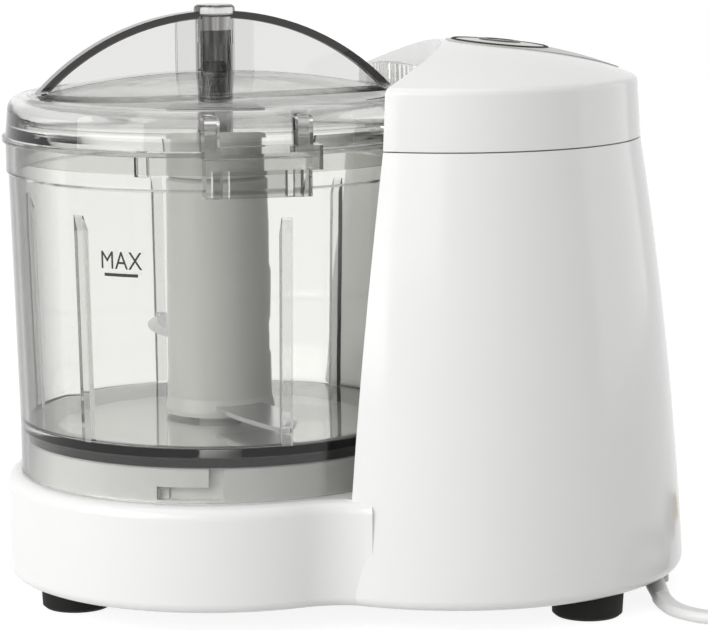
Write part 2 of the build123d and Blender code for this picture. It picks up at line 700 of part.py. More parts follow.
with BuildPart() as tower_cap:
    add(cap_shape.part)
    add(cap_hollow.part, mode=Mode.SUBTRACT)
    for x, y in lug_points:
        add(disc(x, y, pillar_r, lug_top + bracket_t + seat, dome_top - 9.5))
    add(cap_spigot.part)
    # pocket for the panel, and the hole for the button
    add(panel_pocket.part, mode=Mode.SUBTRACT)
    add(disc(button_x, 0, button_r + button_gap, dome_top - 12, dome_top + 5), mode=Mode.SUBTRACT)
    for x, y in lug_points:
        add(disc(x, y, pilot_r, lug_top, lug_top + 12), mode=Mode.SUBTRACT)
    # hole for the interlock plunger, through the wall of the recess
    with BuildSketch(Plane(origin=(bowl_x, 0, plunger_z), x_dir=(0, 0, 1),
                           z_dir=(cos(radians(interlock_angle)), sin(radians(interlock_angle)), 0))
                     .offset(recess_r - 3)):
        Circle(plunger_r + run)
    extrude(amount=7, mode=Mode.SUBTRACT)
save(tower_cap, "tower_cap")

with BuildPart() as button_panel:
    extrude(teardrop(0, dome_top - 12), amount=20)
    add(under_dome(panel_proud), mode=Mode.INTERSECT)
    add(under_dome(-panel_t + seat), mode=Mode.SUBTRACT)
    add(disc(button_x, 0, button_r + button_gap, dome_top - 12, dome_top + 5), mode=Mode.SUBTRACT)
save(button_panel, "button_panel")

# flange that holds the button under the cap, clear of the dome's underside
with BuildPart() as button_flange:
    add(ring_sector(button_x, 0, button_r - 1.6, button_flange_r, button_base, button_base + 1.2, 0, 360))
    add(under_dome(-cap_wall - 0.3), mode=Mode.INTERSECT)

with BuildPart() as power_button:
    add(disc(button_x, 0, button_r, button_base, dome_top + 5))
    add(under_dome(button_top_lift), mode=Mode.INTERSECT)
    fillet(power_button.edges().group_by(Axis.Z)[-1], 0.5)
    add(ring_sector(button_x, 0, 4.3, 5.3, dome_top + button_top_lift - 0.45, dome_top + 5, 0, 360), mode=Mode.SUBTRACT)
    add(disc(button_x, 0, button_r - 1.6, dome_top - 7, dome_top - 2.6), mode=Mode.SUBTRACT)
    add(button_flange.part)
    add(disc(button_x, 0, 2.5, button_stem_z, dome_top - 2.0))
save(power_button, "power_button")

# ---------------------------------------------------------------- switches
switch_l, switch_w, switch_h = 12.8, 6.5, 5.8
power_switch_z = button_stem_z - button_travel - switch_h - 0.3
spring_r = button_r - 3.5
spring_wire = 0.35
bracket_half = tower_seam_r - 7.5
guide_r0, guide_r1 = recess_r + 9.8, recess_r + 11.6
stem_end = guide_r1 + 2.2  # radius that the plunger's stem reaches with the lid locked
switch_r = stem_end + 0.3
inward = radians(interlock_angle)
guide_plane = Plane(origin=(bowl_x, 0, 0), x_dir=(-sin(inward), cos(inward), 0),
                    z_dir=(cos(inward), sin(inward), 0))

with BuildPart() as switch_bracket:
    with BuildSketch(level(tower_x, 0, lug_top)):
        with Locations((button_from_axis + 2.5, 0)):
            Rectangle(2 * spring_r + 6.2, 2 * bracket_half)
        with Locations((8, 33)):
            Rectangle(26, 22)
        Circle(spigot_r - 1.6 - slip, mode=Mode.INTERSECT)
        with Locations((-axis_gap, 0)):
            Circle(recess_r + wall + 0.6, mode=Mode.SUBTRACT)
    extrude(amount=bracket_t)
    add(ring_sector(button_x, 0, spring_r - 3.6, spring_r + 1.6, lug_top + 1, power_switch_z, 0, 360))
    add(disc(button_x, 0, spring_r + 1.6, power_switch_z - 1.6, power_switch_z))
    # guide of the interlock plunger
    with BuildSketch(guide_plane.offset(guide_r0)):
        with Locations((0, (lug_top + 1 + plunger_z + 4.5) / 2)):
            Rectangle(9, plunger_z + 4.5 - lug_top - 1)
        with Locations((0, plunger_z)):
            Circle(1.5 + run, mode=Mode.SUBTRACT)
    extrude(amount=guide_r1 - guide_r0)
    with BuildSketch(level(bowl_x, 0, lug_top + 1, interlock_angle)):
        with Locations((switch_r + switch_h / 2, 0)):
            Rectangle(switch_h, switch_w)
    extrude(amount=plunger_z - switch_l / 2 - lug_top - 1)
    for x, y in lug_points:
        add(disc(x, y, 1.7, lug_top - 1, lug_top + 10), mode=Mode.SUBTRACT)
save(switch_bracket, "switch_bracket")

with BuildPart() as cap_screws:
    for x, y in lug_points:
        add(screw(x, y, lug_top - lug_t, 13.0))
save(cap_screws, "cap_screws")

with BuildPart() as power_switch:
    with BuildSketch(level(button_x, 0, power_switch_z)):
        Rectangle(switch_l, switch_w)
    extrude(amount=switch_h)
    fillet(power_switch.edges().filter_by(Axis.Z), 0.6)
    add(disc(button_x, 0, 1.0, power_switch_z + switch_h - 0.2, power_switch_z + switch_h + 0.25))
save(power_switch, "power_switch")

with BuildPart() as interlock_switch:
    with BuildSketch(level(bowl_x, 0, plunger_z - switch_l / 2, interlock_angle)):
        with Locations((switch_r + switch_h / 2, 0)):
            Rectangle(switch_h, switch_w)
    extrude(amount=switch_l)
    fillet(interlock_switch.edges().filter_by(Axis.Z), 0.6)
save(interlock_switch, "interlock_switch")

plunger_tip = recess_r - 0.3               # radius of the plunger's nose with the lid locked
nose_plane = guide_plane.offset(plunger_tip)
with BuildPart() as interlock_plunger:
    with BuildSketch(nose_plane):
        with Locations((0, plunger_z)):
            Circle(plunger_r)
    extrude(amount=recess_r + wall + 2.6 - plunger_tip)
    nose = interlock_plunger.faces().sort_by(Axis(nose_plane.origin, nose_plane.z_dir))[0]
    fillet(nose.edges(), plunger_r - 0.2)
    with BuildSketch(guide_plane.offset(recess_r + wall + 2.6)):
        with Locations((0, plunger_z)):
            Circle(plunger_r + 1.4)
    extrude(amount=1.4)
    with BuildSketch(guide_plane.offset(recess_r + wall + 4.0)):
        with Locations((0, plunger_z)):
            Circle(1.5)
    extrude(amount=stem_end - (recess_r + wall + 4.0))
save(interlock_plunger, "interlock_plunger")


def coil_spring(origin, axis_dir, r, wire, length, turns):
    """Open coil spring from a point along a direction."""
    with BuildPart() as piece:
        with BuildLine() as path:
            Helix(pitch=(length - 2 * wire) / turns, height=length - 2 * wire, radius=r,
                  center=Vector(*origin) + Vector(*axis_dir) * wire, direction=axis_dir)
        with BuildSketch(Plane(origin=path.line @ 0, z_dir=path.line % 0)):
            RegularPolygon(wire, 6)
        sweep(is_frenet=True)
    return piece


button_spring = coil_spring((button_x, 0, power_switch_z + 0.05), (0, 0, 1), spring_r, spring_wire,
                            dome_top - 2.6 - power_switch_z - 0.1, 4)
save(button_spring, "button_spring")

spring_start = recess_r + wall + 4.0 + 0.1
interlock_spring = coil_spring((bowl_x + spring_start * cos(inward), spring_start * sin(inward), plunger_z),
                               (cos(inward), sin(inward), 0), 2.4, 0.3, guide_r0 - spring_start - 0.1, 5)
save(interlock_spring, "interlock_spring")

# ---------------------------------------------------------------- bowl
with BuildPart() as damper_ring:
    add(ring_sector(bowl_x, 0, boss_r - 7, boss_r, boss_top + 0.02, boss_top + ring_h, 0, 360))
    fillet(damper_ring.edges().group_by(Axis.Z)[-1], 0.6)
save(damper_ring, "damper_ring")

skirt_in = boss_r + skirt_gap
rib_depth = 1.9
floor_out_r = bowl_foot_r - 0.05
bowl_floor_in = floor_out_r - bowl_wall
rim_in_r = bowl_top_r - bowl_wall + 0.2
lid_seat_z = rim_top + 0.15

with BuildPart() as bowl_turned:
    with BuildSketch(bowl_section) as half:
        with BuildLine():
            Polyline(
                (skirt_in, skirt_z), (bowl_foot_r, skirt_z), (floor_out_r, floor_z),
                (bowl_top_r, rim_under_z), (bowl_rim_r, rim_under_z + 0.7), (bowl_rim_r, rim_top),
                (rim_in_r, rim_top), (rim_in_r, rim_under_z), (bowl_floor_in, floor_top),
                (chimney_r, floor_top), (chimney_r - 0.4, chimney_top),
                (chimney_r - chimney_wall, chimney_top), (chimney_r - chimney_wall, floor_z),
                (skirt_in, floor_z), close=True)
        make_face()
        fillet(half.vertices().filter_by_position(Axis.Y, floor_top - 0.1, floor_top + 0.1), 1.2)
    revolve(axis=bowl_axis)

rib_count = 6
rib_angle = -90 + 17.5
rib_w = 2.8
rib_top = rim_under_z - 7.0
grip_dir = -90 + grip_angle
grip_plane = upright(bowl_x, 0, grip_angle)          # X across the grip, seen from the front
apron_t = 2.0
apron_rib_u = (-8.0, 8.2)


def bowl_rib(angle):
    """An upright rib inside the bowl, leaning with the wall's taper, its top sloped off."""
    lean = (bowl_top_r - floor_out_r) / (rim_under_z - floor_z)
    low_r = bowl_floor_in + lean * floor_t
    high_r = bowl_floor_in + lean * (rib_top - floor_top)
    with BuildPart() as piece:
        with BuildSketch(upright(bowl_x, 0, angle)):
            with BuildLine():
                Polyline((low_r - rib_depth, floor_top - 0.4), (low_r + 0.8, floor_top - 0.4),
                         (high_r + 0.8, rib_top), (high_r - 0.2, rib_top),
                         (high_r - rib_depth, rib_top - 4), close=True)
            make_face()
        extrude(amount=rib_w / 2, both=True)
    return piece.part


def grip_block(u0, u1, z0, z1, reach, root):
    """A block of the grip: across from u0 to u1, from z0 to z1, out from radius root to reach."""
    with BuildPart() as piece:
        with BuildSketch(level(bowl_x, 0, z0, grip_angle)):
            with Locations(((u0 + u1) / 2, -(root + reach) / 2)):
                Rectangle(u1 - u0, reach - root)
        extrude(amount=z1 - z0)
    return piece.part


wall_mid_r = bowl_top_r - bowl_wall / 2
step_half = grip_half + 2.8
step_h = 3.0
notch_angles = [-90 - 21.4 + 120 * i for i in range(3)]
notch_half = 1.7
notch_z = rim_top - 4.8

with BuildPart() as bowl_inside:
    with BuildSketch(bowl_section):
        with BuildLine():
            Polyline((0, floor_top + 8), (bowl_floor_in + 0.2, floor_top + 8), (rim_in_r, rim_under_z),
                     (rim_in_r, rim_top + 1), (0, rim_top + 1), close=True)
        make_face()
    revolve(axis=bowl_axis)

# grip: a plate held off the wall by four ribs, with a shelf over it
with BuildPart() as bowl_grip:
    for u in (1 - grip_half, *apron_rib_u, grip_half - 1):
        add(grip_block(u - 0.9, u + 0.9, apron_z, rim_top, grip_reach - 0.5, wall_mid_r * 0.96))
    add(grip_block(-grip_half, grip_half, apron_z, rim_top, grip_reach, grip_reach - apron_t))
    add(grip_block(-grip_half, step_half, rim_top - step_h, rim_top, grip_reach - 0.2, wall_mid_r * 0.95))
    add(bowl_inside.part, mode=Mode.SUBTRACT)

with BuildPart() as bowl:
    add(bowl_turned.part)
    for i in range(rib_count):
        add(bowl_rib(rib_angle + 360 / rib_count * i))
    add(bowl_grip.part)
    # bayonet lugs inside the skirt
    half_angle = degrees(lug_w / 2 / boss_r)
    for angle in bayonet_angles:
        add(ring_sector(bowl_x, 0, boss_r - groove_depth + 0.4, skirt_in + 0.4, groove_z0 + 0.4,
                        groove_z1 - 0.4, angle - half_angle, angle + half_angle))
    # notches in the rim that key the lid
    half_angle = degrees(notch_half / bowl_rim_r)
    for angle in notch_angles:
        add(ring_sector(bowl_x, 0, rim_in_r - 1, bowl_rim_r + 1, notch_z, rim_top + 1,
                        angle - half_angle, angle + half_angle), mode=Mode.SUBTRACT)
save(bowl, "bowl")

# ---------------------------------------------------------------- blades
blade_lift = (3.0, 19.0)                   # of the two blades above the bowl's floor
blade_turns = (-62.0, 118.0)
blade_tip_r = bowl_floor_in - rib_depth - 1.65


def blade_outline(z, turn, tip_r):
    """A sickle blade's plan, its root in the hub and its cutting edge hollow."""
    with BuildSketch(level(bowl_x, 0, z, turn)) as outline:
        with BuildLine():
            root_r = hub_r - 3.0
            ThreePointArc((root_r, 7.5), (tip_r - 18.2, 5.2), (tip_r - 0.8, -6.0))
            ThreePointArc((tip_r - 0.8, -6.0), (tip_r, -7.6), (tip_r - 1.6, -8.8))
            ThreePointArc((tip_r - 1.6, -8.8), (tip_r - 17.2, -9.6), (root_r, -7.5))
            Line((root_r, -7.5), (root_r, 7.5))
        make_face()
    return outline.sketch


def blade(z, turn):
    """A flat blade ground on its cutting edge."""
    with BuildPart() as piece:
        extrude(blade_outline(z, turn, blade_tip_r), amount=blade_t)
        edges = piece.edges().filter_by(GeomType.CIRCLE).group_by(Axis.Z)[-1]
        cutting = edges.sort_by(SortBy.LENGTH)[-2:]
        local_y = [edge.center().dot(Vector(-sin(radians(turn)), cos(radians(turn)), 0)) for edge in cutting]
        keen = cutting[0] if local_y[0] > local_y[1] else cutting[1]
        chamfer(keen, 2.6, blade_t - 0.25, reference=piece.faces().sort_by(Axis.Z)[-1])
    return piece


lower_blade = blade(floor_top + blade_lift[0], blade_turns[0])
save(lower_blade, "lower_blade")
upper_blade = blade(floor_top + blade_lift[1], blade_turns[1])
save(upper_blade, "upper_blade")

hub_foot = floor_top + 1.0
socket_z = chimney_top + 1.5
hub_pin_r = 3.2
hub_pin_top = arch_top - 13.2
socket_r = hex_flats / 2 + 1.2
with BuildPart() as hex_socket:
    add(disc(bowl_x, 0, socket_r, socket_z, hex_z1 + 0.6))
    with BuildSketch(level(bowl_x, 0, socket_z - 1)):
        RegularPolygon(hex_flats / 2 + 0.08, 6, major_radius=False)
    extrude(amount=hex_z1 - socket_z + 3, mode=Mode.SUBTRACT)

with BuildPart() as blade_hub:
    with BuildSketch(bowl_section) as half:
        with BuildLine():
            Polyline(
                (chimney_r + 0.8, hub_foot), (hub_r + 0.6, hub_foot), (hub_r + 0.6, hub_foot + 1.2),
                (hub_r, hub_foot + 4.5), (hub_r - 0.3, hub_top - 2), (hub_r - 2.3, hub_top),
                (5.4, hub_top), (hub_pin_r, hub_top + 2.4), (hub_pin_r, hub_pin_top - 0.8),
                (hub_pin_r - 0.8, hub_pin_top), (0, hub_pin_top), (0, hex_z1 + 0.6),
                (socket_r - 0.3, hex_z1 + 0.6), (socket_r - 0.3, socket_z),
                (chimney_r + 0.8, socket_z), close=True)
        make_face()
    revolve(axis=bowl_axis)
    add(hex_socket.part)
    add(lower_blade.part, mode=Mode.SUBTRACT)
    add(upper_blade.part, mode=Mode.SUBTRACT)
save(blade_hub, "blade_hub")

# ---------------------------------------------------------------- lid
spigot_out = rim_in_r - 0.25
tube_r = 4.9
tube_bore = 3.9
tube_z0 = hub_top + 4.0
tube_top = arch_top - 1.6
arch_rise = arch_top - arch_foot
arch_r = (arch_half ** 2 + arch_rise ** 2) / (2 * arch_rise)
arch_centre_z = arch_top - arch_r
arch_plane = upright(bowl_x, 0, grip_angle)
web_half = 10.2


def arch_band(r_out, thickness, half_span, low_z):
    """A plate standing on the lid under a circular arch, across the thickness."""
    z = arch_centre_z + sqrt(r_out ** 2 - half_span ** 2)
    with BuildPart() as piece:
        with BuildSketch(arch_plane):
            with BuildLine():
                ThreePointArc((-half_span, z), (0, arch_centre_z + r_out), (half_span, z))
                Polyline((half_span, z), (half_span, low_z), (-half_span, low_z), (-half_span, z))
            make_face()
        extrude(amount=thickness / 2, both=True)
    return piece.part


def dome_points(r, z):
    """Three points of the domed plate's arc, from radius r at height z to the axis."""
    return (r, z), (r / 2, z + lid_plate_rise * 0.753), (0, z + lid_plate_rise)


lid_seat_in = spigot_out - 1.9
lid_inner = [(lid_side_r - 6.6, lid_plate_z - lid_plate_t), (lid_side_r - 3.6, lid_shoulder_z - 0.9),
             (lid_side_r - 2.5, lid_shoulder_z - 3.4), (lid_seat_in, lid_seat_z + 0.6)]
plate_outer = dome_points(lid_side_r - 7.4, lid_plate_z)
plate_inner = dome_points(*lid_inner[0])

with BuildPart() as lid_turned:
    with BuildSketch(bowl_section) as half:
        with BuildLine():
            Polyline(
                (lid_seat_in, rim_top - spigot_depth), (spigot_out, rim_top - spigot_depth),
                (spigot_out, lid_seat_z), (lid_flange_r, lid_seat_z),
                (lid_flange_r, lid_seat_z + lid_flange_t), (lid_side_r, lid_seat_z + lid_flange_t + 0.3),
                (lid_side_r - 0.6, lid_shoulder_z))
            ThreePointArc((lid_side_r - 0.6, lid_shoulder_z),
                          (lid_side_r - 1.7, lid_shoulder_z + 2.7), (lid_side_r - 4.4, lid_rim_z))
            Polyline(
                (lid_side_r - 4.4, lid_rim_z), (lid_side_r - 6.2, lid_rim_z), plate_outer[0])
            ThreePointArc(*plate_outer)
            Line(plate_outer[2], plate_inner[2])
            ThreePointArc(*plate_inner)
            ThreePointArc(*lid_inner[:3])
            Polyline(*lid_inner[2:], (lid_seat_in, rim_top - spigot_depth))
        make_face()
    revolve(axis=bowl_axis)

with BuildPart() as lid_hollow:
    with BuildSketch(bowl_section):
        with BuildLine():
            Polyline((lid_seat_in, lid_seat_z + 0.6), (lid_seat_in, rim_top - spigot_depth - 1),
                     (0, rim_top - spigot_depth - 1), plate_inner[2])
            ThreePointArc(*plate_inner)
            ThreePointArc(*lid_inner[:3])
            Line(lid_inner[2], lid_inner[3])
        make_face()
    revolve(axis=bowl_axis)

with BuildPart() as arch_flange:
    add(arch_band(arch_r, flange_w, arch_half, lid_plate_z + 0.4))
    with BuildSketch(arch_plane):
        with Locations((0, arch_centre_z)):
            Circle(arch_r - flange_t)
    extrude(amount=flange_w, both=True, mode=Mode.SUBTRACT)

# ears of the grip with the band between them, and the step beside them
ear_in = 9.7
ear_top = rim_top + 10.6
grip_seam = rim_top + 0.15
with BuildPart() as lid_grip:
    for side in (-1, 1):
        u0, u1 = sorted((side * ear_in, side * (grip_half + 0.3)))
        add(grip_block(u0, u1, grip_seam, ear_top, grip_reach, lid_side_r - 5))
    fillet(lid_grip.edges().group_by(Axis.Z)[-1], 1.2)
    add(grip_block(-ear_in, ear_in, grip_seam, grip_seam + 2.9, grip_reach - 0.9, lid_side_r - 5))
    add(grip_block(-grip_half, step_half, grip_seam, grip_seam + 2.9, grip_reach - 0.2, lid_side_r - 5))
    add(lid_hollow.part, mode=Mode.SUBTRACT)

# tab that works the interlock: its outer face is a ramp that gains its height over the lock's turn
tab_r = plunger_tip - 0.15
tab_low_r = tab_r - interlock_travel
tab_start, tab_end = interlock_angle - bayonet_turn - 1.5, interlock_angle + 3.5
tab_in_r = lid_side_r - 1.6
tab_top = lid_rim_z + 5.0


def ramp_point(angle, r_full, r_low):
    """A point of the ramp at an angle round the bowl, full from the interlock's angle on."""
    share = min(1.0, max(0.0, 1 - (interlock_angle - angle) / bayonet_turn))
    return around(0, 0, r_low + (r_full - r_low) * share, angle)


with BuildPart() as lid_tab:
    with BuildSketch(level(bowl_x, 0, lid_seat_z)):
        with BuildLine():
            ramp_steps = 9
            step = (interlock_angle - tab_start) / ramp_steps
            outer = [ramp_point(tab_start + step * i, tab_r, tab_low_r) for i in range(ramp_steps + 1)]
            last_out = around(0, 0, tab_r, tab_end)
            last_in = around(0, 0, tab_in_r, tab_end)
            first_in = around(0, 0, tab_in_r, tab_start)
            Polyline(*outer)
            ThreePointArc(outer[-1], around(0, 0, tab_r, (interlock_angle + tab_end) / 2), last_out)
            Line(last_out, last_in)
            ThreePointArc(last_in, around(0, 0, tab_in_r, (tab_start + tab_end) / 2), first_in)
            Line(first_in, outer[0])
        make_face()
    extrude(amount=tab_top - lid_seat_z)
    # upright flutes on the tab's inner face, above the lid
    flutes = 6
    for i in range(flutes):
        x, y = around(bowl_x, 0, tab_in_r, tab_start + (tab_end - tab_start) * (i + 0.5) / flutes)
        add(disc(x, y, 0.7, lid_rim_z + 0.2, tab_top + 1), mode=Mode.SUBTRACT)
    add(lid_hollow.part, mode=Mode.SUBTRACT)

with BuildPart() as crown_boss:
    add(disc(bowl_x, 0, 5.4, arch_top - 1.0, arch_top + 1.5))
    fillet(crown_boss.edges().group_by(Axis.Z)[-1], 1.2)

with BuildPart() as lid:
    add(lid_turned.part)
    # arch: a thin fin, thicker beside the tube, under a broad flange
    add(arch_band(arch_r - flange_t + 0.3, fin_t, arch_half - 1.0, lid_plate_z - 0.6))
    add(arch_band(arch_r - flange_t + 0.3, fin_t * 2.2, web_half, lid_plate_z - 0.6))
    add(arch_flange.part)
    add(lid_hollow.part, mode=Mode.SUBTRACT)
    # tube for the hub's pin, stepped, with a boss on the crown of the arch
    add(disc(bowl_x, 0, tube_r - 0.35, tube_z0, tube_top - 6.6))
    add(disc(bowl_x, 0, tube_r, tube_top - 7.1, tube_top))
    add(crown_boss.part)
    add(lid_grip.part)
    add(lid_tab.part)
    # keys that drop into the notches of the bowl's rim
    half_angle = degrees((notch_half - 0.3) / bowl_rim_r)
    for angle in notch_angles:
        add(ring_sector(bowl_x, 0, spigot_out - 0.5, bowl_rim_r - 0.3, notch_z + 0.4, lid_seat_z + 0.2,
                        angle - half_angle, angle + half_angle))
    add(disc(bowl_x, 0, tube_bore, tube_z0 - 1, tube_top - 3.5), mode=Mode.SUBTRACT)
save(lid, "lid")

with BuildPart() as lid_bush:
    add(ring_sector(bowl_x, 0, hub_pin_r + run, tube_bore - seat, tube_z0 + 1, tube_z0 + 9, 0, 360))
save(lid_bush, "lid_bush")

# ---------------------------------------------------------------- mains lead
lead_z = cord_r + 0.1
relief_len = 21.0
relief_tip_y = relief_y - relief_len
relief_collar = 2.2        # length inside the saddle

with BuildPart() as strain_relief:
    # an oval collar held in the saddle
    with BuildSketch(upright(relief_x, relief_y, 0)):
        with Locations((0, outlet_z + 3.0)):
            Ellipse(3.0, 2.1)
    extrude(amount=relief_collar)
    # tapered sleeve that shrinks towards its tip and droops to the surface
    with BuildSketch(upright(relief_x, relief_y - relief_collar, 0)):
        with Locations((0, outlet_z + 3.0)):
            Ellipse(3.0, 2.1)
    with BuildSketch(upright(relief_x, relief_tip_y, 0)):
        with Locations((0, lead_z + 0.1)):
            Ellipse(2.4, 1.9)
    loft()
save(strain_relief, "strain_relief")

lead_points = [(relief_x, relief_tip_y, lead_z), (relief_x, relief_tip_y - 9.5, lead_z),
               (relief_x + 4.9, relief_tip_y - 18.0, lead_z), (relief_x + 13.4, relief_tip_y - 23.0, lead_z),
               (relief_x + 28.0, relief_tip_y - 24.5, lead_z), (relief_x + 47.0, relief_tip_y - 22.6, lead_z)]
coil_x, coil_y = relief_x + 59.0, relief_tip_y - 22.0 + coil_mid_r + coil_pitch / 2


def corner_radii(points, name):
    """The largest even radius that each corner's two runs leave room for."""
    radii = []
    for a, b, c in zip(points, points[1:], points[2:]):
        into, out = Vector(*b) - Vector(*a), Vector(*c) - Vector(*b)
        turn = radians(into.get_angle(out))
        radii.append(0.45 * min(into.length, out.length) / tan(turn / 2))
    print(name, "radii", [round(r, 1) for r in radii])
    return radii


def lead_tube(points, name):
    """A plain round tube along straight runs joined by tangent arcs."""
    with BuildPart() as piece:
        with BuildLine() as path:
            FilletPolyline(*points, radius=corner_radii(points, name))
        with BuildSketch(Plane(origin=path.line @ 0, z_dir=path.line % 0)):
            Circle(cord_r)
        sweep()
    run_length = path.wires()[0].length
    print(name, "length", round(run_length, 1), "volume share",
          round(piece.part.volume / (pi * cord_r ** 2 * run_length), 4))
    return piece


cord = lead_tube(lead_points, "cord")
save(cord, "cord")

coil_out_r = coil_mid_r + coil_pitch / 2 + 2.7
coil_in_r = coil_mid_r - coil_pitch / 2 - 2.7
with BuildPart() as cord_coil:
    add(ring_sector(coil_x, coil_y, coil_in_r, coil_out_r, 0.05, 2 * coil_layer + 0.1, 0, 360))
    fillet(cord_coil.edges(), 1.2)
save(cord_coil, "cord_coil")

tail_r = coil_mid_r + coil_pitch / 2
tail_x = coil_x + tail_r
tail_points = [(tail_x, coil_y + 8, lead_z + coil_layer - 0.8), (tail_x - 1.2, coil_y + 18, lead_z + 1.4),
               (tail_x - 4.8, coil_y + 28, lead_z + 0.2), (tail_x - 11.5, coil_y + 38, lead_z)]
cord_tail = lead_tube(tail_points, "cord_tail")
save(cord_tail, "cord_tail")

plug_dir = atan2(tail_points[-1][1] - tail_points[-2][1], tail_points[-1][0] - tail_points[-2][0])
plug_turn = degrees(plug_dir)
plug_at = Vector(*tail_points[-1])
plug_w, plug_h, plug_len = 22.0, 12.5, 22.0
plug_relief = 14.0


def plug_plane(along, z):
    """A plane across the plug's axis, its X to the side and its Y up."""
    return Plane(origin=(plug_at.X + along * cos(plug_dir), plug_at.Y + along * sin(plug_dir), z),
                 x_dir=(-sin(plug_dir), cos(plug_dir), 0), z_dir=(cos(plug_dir), sin(plug_dir), 0))


with BuildPart() as plug_body:
    with BuildSketch(plug_plane(0.05, lead_z)):
        Ellipse(cord_r + 0.9, lead_z - 0.05)
    with BuildSketch(plug_plane(plug_relief, plug_h / 2)):
        RectangleRounded(10, 7, 2.5)
    loft()
    with BuildSketch(plug_plane(plug_relief, plug_h / 2 + 0.02)):
        RectangleRounded(plug_w, plug_h, 4)
    extrude(amount=plug_len)
    fillet(plug_body.edges().group_by(Axis(plug_at, plug_plane(0, 0).z_dir))[-1], 1.5)
save(plug_body, "plug_body")

with BuildPart() as plug_pins:
    for side in (-6.35, 6.35):
        with BuildSketch(plug_plane(plug_relief + plug_len, plug_h / 2)):
            with Locations((side, 0)):
                RectangleRounded(1.5, 6.4, 0.5)
        extrude(amount=17.0)
save(plug_pins, "plug_pins")
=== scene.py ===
"""Finishes, fill mark, mains lead and studio for a clear food chopper with a white motor tower.

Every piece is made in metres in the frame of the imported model, so it lands where its neighbours are.
"""
import json
from math import cos, pi, radians, sin, sqrt

import bmesh
import bpy
from bpy.props import FloatProperty, FloatVectorProperty, PointerProperty
from bpy.types import Operator, Panel, PropertyGroup
from mathutils import Matrix, Quaternion, Vector


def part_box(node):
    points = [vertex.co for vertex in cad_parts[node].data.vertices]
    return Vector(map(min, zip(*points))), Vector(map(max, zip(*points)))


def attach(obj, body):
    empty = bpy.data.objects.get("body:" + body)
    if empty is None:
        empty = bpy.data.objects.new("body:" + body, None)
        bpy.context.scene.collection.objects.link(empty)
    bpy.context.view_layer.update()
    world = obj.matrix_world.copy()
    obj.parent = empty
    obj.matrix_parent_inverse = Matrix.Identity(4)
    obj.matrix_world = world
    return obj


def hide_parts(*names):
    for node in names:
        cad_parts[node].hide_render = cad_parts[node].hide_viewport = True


bl_info = {
    "name": "Food chopper finishes",
    "version": (1, 0, 0),
    "blender": (4, 5, 0),
    "location": "3D View > Sidebar > Chopper",
    "description": "Dresses a packed food chopper with its plastics, metals, mains lead and a plain studio",
    "category": "Object",
}

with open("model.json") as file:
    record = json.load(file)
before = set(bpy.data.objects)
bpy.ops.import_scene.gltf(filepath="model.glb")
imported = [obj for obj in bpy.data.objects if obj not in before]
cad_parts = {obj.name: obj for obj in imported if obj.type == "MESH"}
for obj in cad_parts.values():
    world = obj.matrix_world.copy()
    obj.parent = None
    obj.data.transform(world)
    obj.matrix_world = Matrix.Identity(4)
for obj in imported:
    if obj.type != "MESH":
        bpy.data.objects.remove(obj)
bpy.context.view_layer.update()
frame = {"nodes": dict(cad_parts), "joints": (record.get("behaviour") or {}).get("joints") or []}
nodes = frame["nodes"]
MM = 0.001


# ---------------------------------------------------------------- colours and places
def linear(code):
    """An sRGB hex colour as linear RGB."""
    parts = [int(code[i:i + 2], 16) / 255 for i in (0, 2, 4)]
    return tuple(c / 12.92 if c <= 0.04045 else ((c + 0.055) / 1.055) ** 2.4 for c in parts)


def joint_point(name):
    """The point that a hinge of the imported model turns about."""
    return Vector(next(j["pos_m"] for j in frame["joints"] if j["name"] == name))


bowl_axis = joint_point("bowl_turn")
button_low, button_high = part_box("power_button")
button_axis = (button_low + button_high) / 2
bowl_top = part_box("bowl")[1].z
hub_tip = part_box("blade_hub")[1].z


# ---------------------------------------------------------------- sizes and colours a user may change
def colour_prop(name, description, code):
    return FloatVectorProperty(name=name, description=description, subtype="COLOR", size=3,
                               min=0, max=1, default=linear(code))


def length_prop(name, description, default, low=0.0, high=2.0):
    return FloatProperty(name=name, description=description, default=default, min=low, max=high,
                         subtype="DISTANCE", unit="LENGTH", precision=4)


def angle_prop(name, description, degrees):
    return FloatProperty(name=name, description=description, default=radians(degrees), subtype="ANGLE",
                         unit="ROTATION")


def power_prop(name, description, default):
    return FloatProperty(name=name, description=description, default=default, min=0, unit="POWER",
                         subtype="POWER")


class ChopperFinish(PropertyGroup):
    shell: colour_prop("Shell", "White ABS of the housing and the cap", "EDEDEC")
    under: colour_prop("Base plate", "Satin white of the parts that are screwed under and inside", "E3E3DF")
    clear: colour_prop("Clear", "Tint of the clear walls of the bowl and lid", "F3F3F1")
    # smoke: grey of thick clear plastic, also used as painted shade for the dark surroundings that thick parts
    # and edge-on walls show
    smoke_and_shade: colour_prop("Smoke", "Grey of the clear plastic where it is thick or seen edge on", "333130")
    hub: colour_prop("Hub", "Pale grey of the blade hub", "AEAEAB")
    panel: colour_prop("Panel", "Satin grey of the drop-shaped panel round the button", "BDBEB9")
    button: colour_prop("Button", "Pale grey of the push button", "CBCCC7")
    sign: colour_prop("Sign", "Dark grey of the power sign let into the button", "4A4B47")
    # rubber: black of the feet and of the ring under the bowl; on that ring the black is also painted shade for
    # the dark band at the bowl's floor edge
    rubber: colour_prop("Rubber", "Black of the feet and of the ring under the bowl", "12110F")
    ink: colour_prop("Ink", "Black of the printed fill mark", "24221E")


